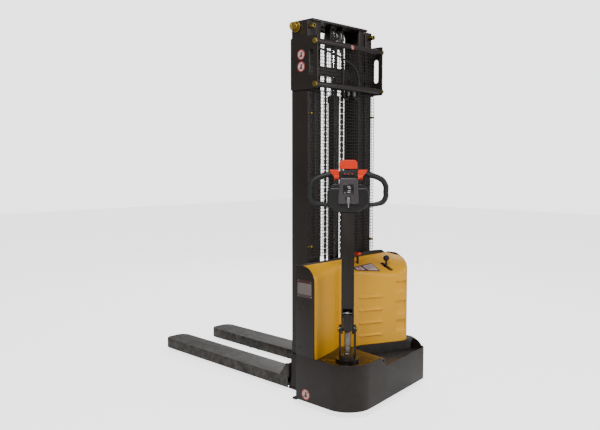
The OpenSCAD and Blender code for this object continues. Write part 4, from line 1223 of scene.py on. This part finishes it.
def buttons():
    """The reversing button, throttle wings and lift rocker."""
    near = low("reverse_button").z / MM
    top = high("reverse_button").z / MM + 1
    base = 1255.5
    cap = slab(rounded(two_halves([(-45, base, 3), (-45.5, top - 16, 16), (-36, top, 13)]), 10, 8), -33, 33)
    on_tiller("reverse_button_cap", cap, "orange-red plastic", "control_red", "belly_button", edge=7,
              segments=6, replaces="reverse_button")
    stem = moved(disc(9.9, near, base + 4, steps=32), Matrix.Translation((0, 8 * MM, 0)))
    on_tiller("reverse_button_stem", stem, "black grained plastic", "control_red", "belly_button")
    turn = joint_height("throttle_turn")

    def wing():
        drum = lathe([(0, 45.6), (13.5, 45.6), (15, 48), (14.6, 52), (11.5, 57), (11.5, 60), (14.4, 65),
                      (14.4, 69), (12, 71), (0, 71)], 36)
        axle = Matrix.Translation((0, -24 * MM, turn * MM)) @ Matrix.Rotation(math.pi / 2, 4, "Y")
        paddle = slab(rounded([(47, turn + 2), (66, turn - 5), (80, turn + 12), (96, turn + 33),
                               (93, turn + 37), (52, turn + 37), (47, turn + 30)], 3.5, 4), -30, -18)
        return joined(moved(drum, axle), paddle)

    on_tiller("throttle_paddles", both(wing), "orange-red plastic", "control_red", "throttle_wings", edge=2.2,
              angle=40, replaces="throttle")
    rocker_z = (low("lift_rocker").z + high("lift_rocker").z) / 2 / MM
    rocker = slab(rectangle(-30, 30, rocker_z - 8, rocker_z + 8, 3), -41, -35)
    on_tiller("lift_rocker_bar", rocker, "black grained plastic", "control_red", "lift_switch", edge=1.6,
              replaces="lift_rocker")
    marks = [slab(rounded([(x - 5, rocker_z - 2.5), (x + 5, rocker_z - 2.5), (x + 3, rocker_z + 2.5),
                           (x - 3, rocker_z + 2.5)], 1, 2), -41.4, -40.8) for x in (-19, 0, 19)]
    on_tiller("lift_rocker_marks", joined(*marks), "label red", "control_red", "lift_switch")


# ---- stage ----
ROOM_LIGHT = 0.32
BACKDROP = 2.8
FLOOR_GLOW = 2.1
FLOOR_REACH = 14
LAMP_TARGET = Vector((0, -0.3, 0.9))
LAMPS = (("key light", (-3.1, -2.5, 4.6), 200, 1.6), ("fill light", (1.6, -4.4, 2.2), 60, 2.2),
         ("rim light", (2.8, 2.6, 3.4), 60, 2.4))
CAMERA_PLACE = (-2.8456, -2.9574, 1.2882)
CAMERA_PITCH, CAMERA_TURN = 90 - 4.5, -45.4
LENS, SENSOR_WIDTH = 40.07, 36


def stage():
    """Pale floor, soft studio lights and the camera."""
    ground = object_of("floor", floor_square())
    material = bpy.data.materials.new("pale floor")
    material.use_nodes = True
    shader = material.node_tree.nodes["Principled BSDF"]
    shader.inputs["Base Color"].default_value = (0.90, 0.90, 0.90, 1)
    shader.inputs["Roughness"].default_value = 0.75
    shader.inputs["Emission Color"].default_value = (1, 1, 1, 1)
    material.node_tree.links.new(for_camera(material.node_tree, FLOOR_GLOW, 0.0),
                                 shader.inputs["Emission Strength"])
    ground.data.materials.append(material)
    world = bpy.data.worlds.new("studio")
    world.use_nodes = True
    sky = world.node_tree.nodes["Background"]
    sky.inputs["Color"].default_value = (1, 1, 1, 1)
    world.node_tree.links.new(for_camera(world.node_tree, BACKDROP, ROOM_LIGHT), sky.inputs["Strength"])
    bpy.context.scene.world = world
    for name, spot, power, size in LAMPS:
        data = bpy.data.lights.new(name, "AREA")
        data.energy = power
        data.size = size
        lamp = in_scene(bpy.data.objects.new(name, data))
        lamp.location = spot
        lamp.rotation_euler = (LAMP_TARGET - Vector(spot)).to_track_quat("-Z", "Y").to_euler()
    data = bpy.data.cameras.new("camera")
    data.lens = LENS
    data.sensor_width = SENSOR_WIDTH
    camera = in_scene(bpy.data.objects.new("camera", data))
    camera.location = CAMERA_PLACE
    camera.rotation_euler = (math.radians(CAMERA_PITCH), 0, math.radians(CAMERA_TURN))
    bpy.context.scene.camera = camera


def floor_square():
    """One level square."""
    bm = bmesh.new()
    corners = ((-1, -1), (1, -1), (1, 1), (-1, 1))
    bm.faces.new([bm.verts.new((x * FLOOR_REACH, y * FLOOR_REACH, 0)) for x, y in corners])
    return bm


# ---- settings, operators and panel ----
class StackerSettings(bpy.types.PropertyGroup):
    """Colours and sizes that a user may want to change."""
    cover_colour: FloatVectorProperty(name="Cover colour", description="Colour of the moulded drive cover",
                                      subtype="COLOR", size=3, default=(0.80, 0.38, 0.0), min=0, max=1)
    paint_colour: FloatVectorProperty(name="Paint colour", description="Colour of the chassis and mast paint",
                                      subtype="COLOR", size=3, default=(0.0115, 0.0070, 0.0050), min=0, max=1)
    control_colour: FloatVectorProperty(name="Control colour",
                                        description="Colour of the buttons and throttle",
                                        subtype="COLOR", size=3, default=(0.80, 0.030, 0.0), min=0, max=1)
    # How much of the worn corners and of the painted edge highlight is laid on.
    wear: FloatProperty(name="Wear", description="How much paint is worn from the corners",
                        subtype="FACTOR", default=0.35, min=0, max=1)
    wire_pitch: FloatProperty(name="Wire pitch", description="Distance between the guard's wires",
                              default=0.0175, min=0.01, max=0.06, unit="LENGTH")
    wire_diameter: FloatProperty(name="Wire diameter", description="Thickness of the guard's wires",
                                 default=0.0034, min=0.001, max=0.004, unit="LENGTH")
    rib_height: FloatProperty(name="Rib height", description="How far the cover's ribs stand out",
                              default=0.0075, min=0.001, max=0.009, unit="LENGTH")
    link_pitch: FloatProperty(name="Link pitch", description="Pitch of the leaf chain",
                              default=0.0159, min=0.009, max=0.026, unit="LENGTH")


class STACKER_OT_chassis(bpy.types.Operator):
    """Finishes the chassis, decks, legs and plates"""
    bl_idname = "stacker.chassis"
    bl_label = "Chassis"

    def execute(self, context):
        chassis()
        return {"FINISHED"}


class STACKER_OT_mast(bpy.types.Operator):
    """Finishes both mast stages, the carriage and their fittings"""
    bl_idname = "stacker.mast"
    bl_label = "Mast"

    def execute(self, context):
        mast()
        return {"FINISHED"}


class STACKER_OT_forks(bpy.types.Operator):
    """Finishes the forks and the load rollers"""
    bl_idname = "stacker.forks"
    bl_label = "Forks"

    def execute(self, context):
        forks()
        return {"FINISHED"}


class STACKER_OT_wheels(bpy.types.Operator):
    """Finishes the drive wheel and the caster"""
    bl_idname = "stacker.wheels"
    bl_label = "Wheels"

    def execute(self, context):
        wheels()
        return {"FINISHED"}


class STACKER_OT_guard(bpy.types.Operator):
    """Builds the welded wire guard"""
    bl_idname = "stacker.guard"
    bl_label = "Wire guard"

    def execute(self, context):
        guard()
        return {"FINISHED"}


class STACKER_OT_chains(bpy.types.Operator):
    """Builds the leaf chains and the lift hoses"""
    bl_idname = "stacker.chains"
    bl_label = "Chains and hoses"

    def execute(self, context):
        chains()
        hoses()
        return {"FINISHED"}


class STACKER_OT_cover(bpy.types.Operator):
    """Builds the moulded cover and what is set in its top"""
    bl_idname = "stacker.cover"
    bl_label = "Cover"

    def execute(self, context):
        cover()
        dash()
        return {"FINISHED"}


class STACKER_OT_tiller(bpy.types.Operator):
    """Builds the tiller arm, its head and its controls"""
    bl_idname = "stacker.tiller"
    bl_label = "Tiller"

    def execute(self, context):
        arm()
        control_head()
        key()
        buttons()
        return {"FINISHED"}


class STACKER_OT_stage(bpy.types.Operator):
    """Sets up the floor, lights and camera"""
    bl_idname = "stacker.stage"
    bl_label = "Stage"

    def execute(self, context):
        stage()
        return {"FINISHED"}


class STACKER_PT_panel(bpy.types.Panel):
    """Lists the stacker's settings and building steps"""
    bl_idname = "STACKER_PT_panel"
    bl_label = "Walkie Stacker"
    bl_space_type = "VIEW_3D"
    bl_region_type = "UI"
    bl_category = "Stacker"

    def draw(self, context):
        for name in StackerSettings.__annotations__:
            self.layout.prop(context.scene.stacker, name)
        for operator in OPERATORS:
            self.layout.operator(operator.bl_idname)


OPERATORS = (STACKER_OT_stage, STACKER_OT_chassis, STACKER_OT_mast, STACKER_OT_forks, STACKER_OT_wheels,
             STACKER_OT_guard, STACKER_OT_chains, STACKER_OT_cover, STACKER_OT_tiller)


def register():
    for cls in (StackerSettings,) + OPERATORS + (STACKER_PT_panel,):
        bpy.utils.register_class(cls)
    bpy.types.Scene.stacker = PointerProperty(type=StackerSettings)


def unregister():
    del bpy.types.Scene.stacker
    for cls in (STACKER_PT_panel,) + OPERATORS[::-1] + (StackerSettings,):
        bpy.utils.unregister_class(cls)


def main():
    register()
    for operator in OPERATORS:
        step = operator.bl_idname.split(".")[1]
        getattr(bpy.ops.stacker, step)()


if __name__ == "__main__":
    main()
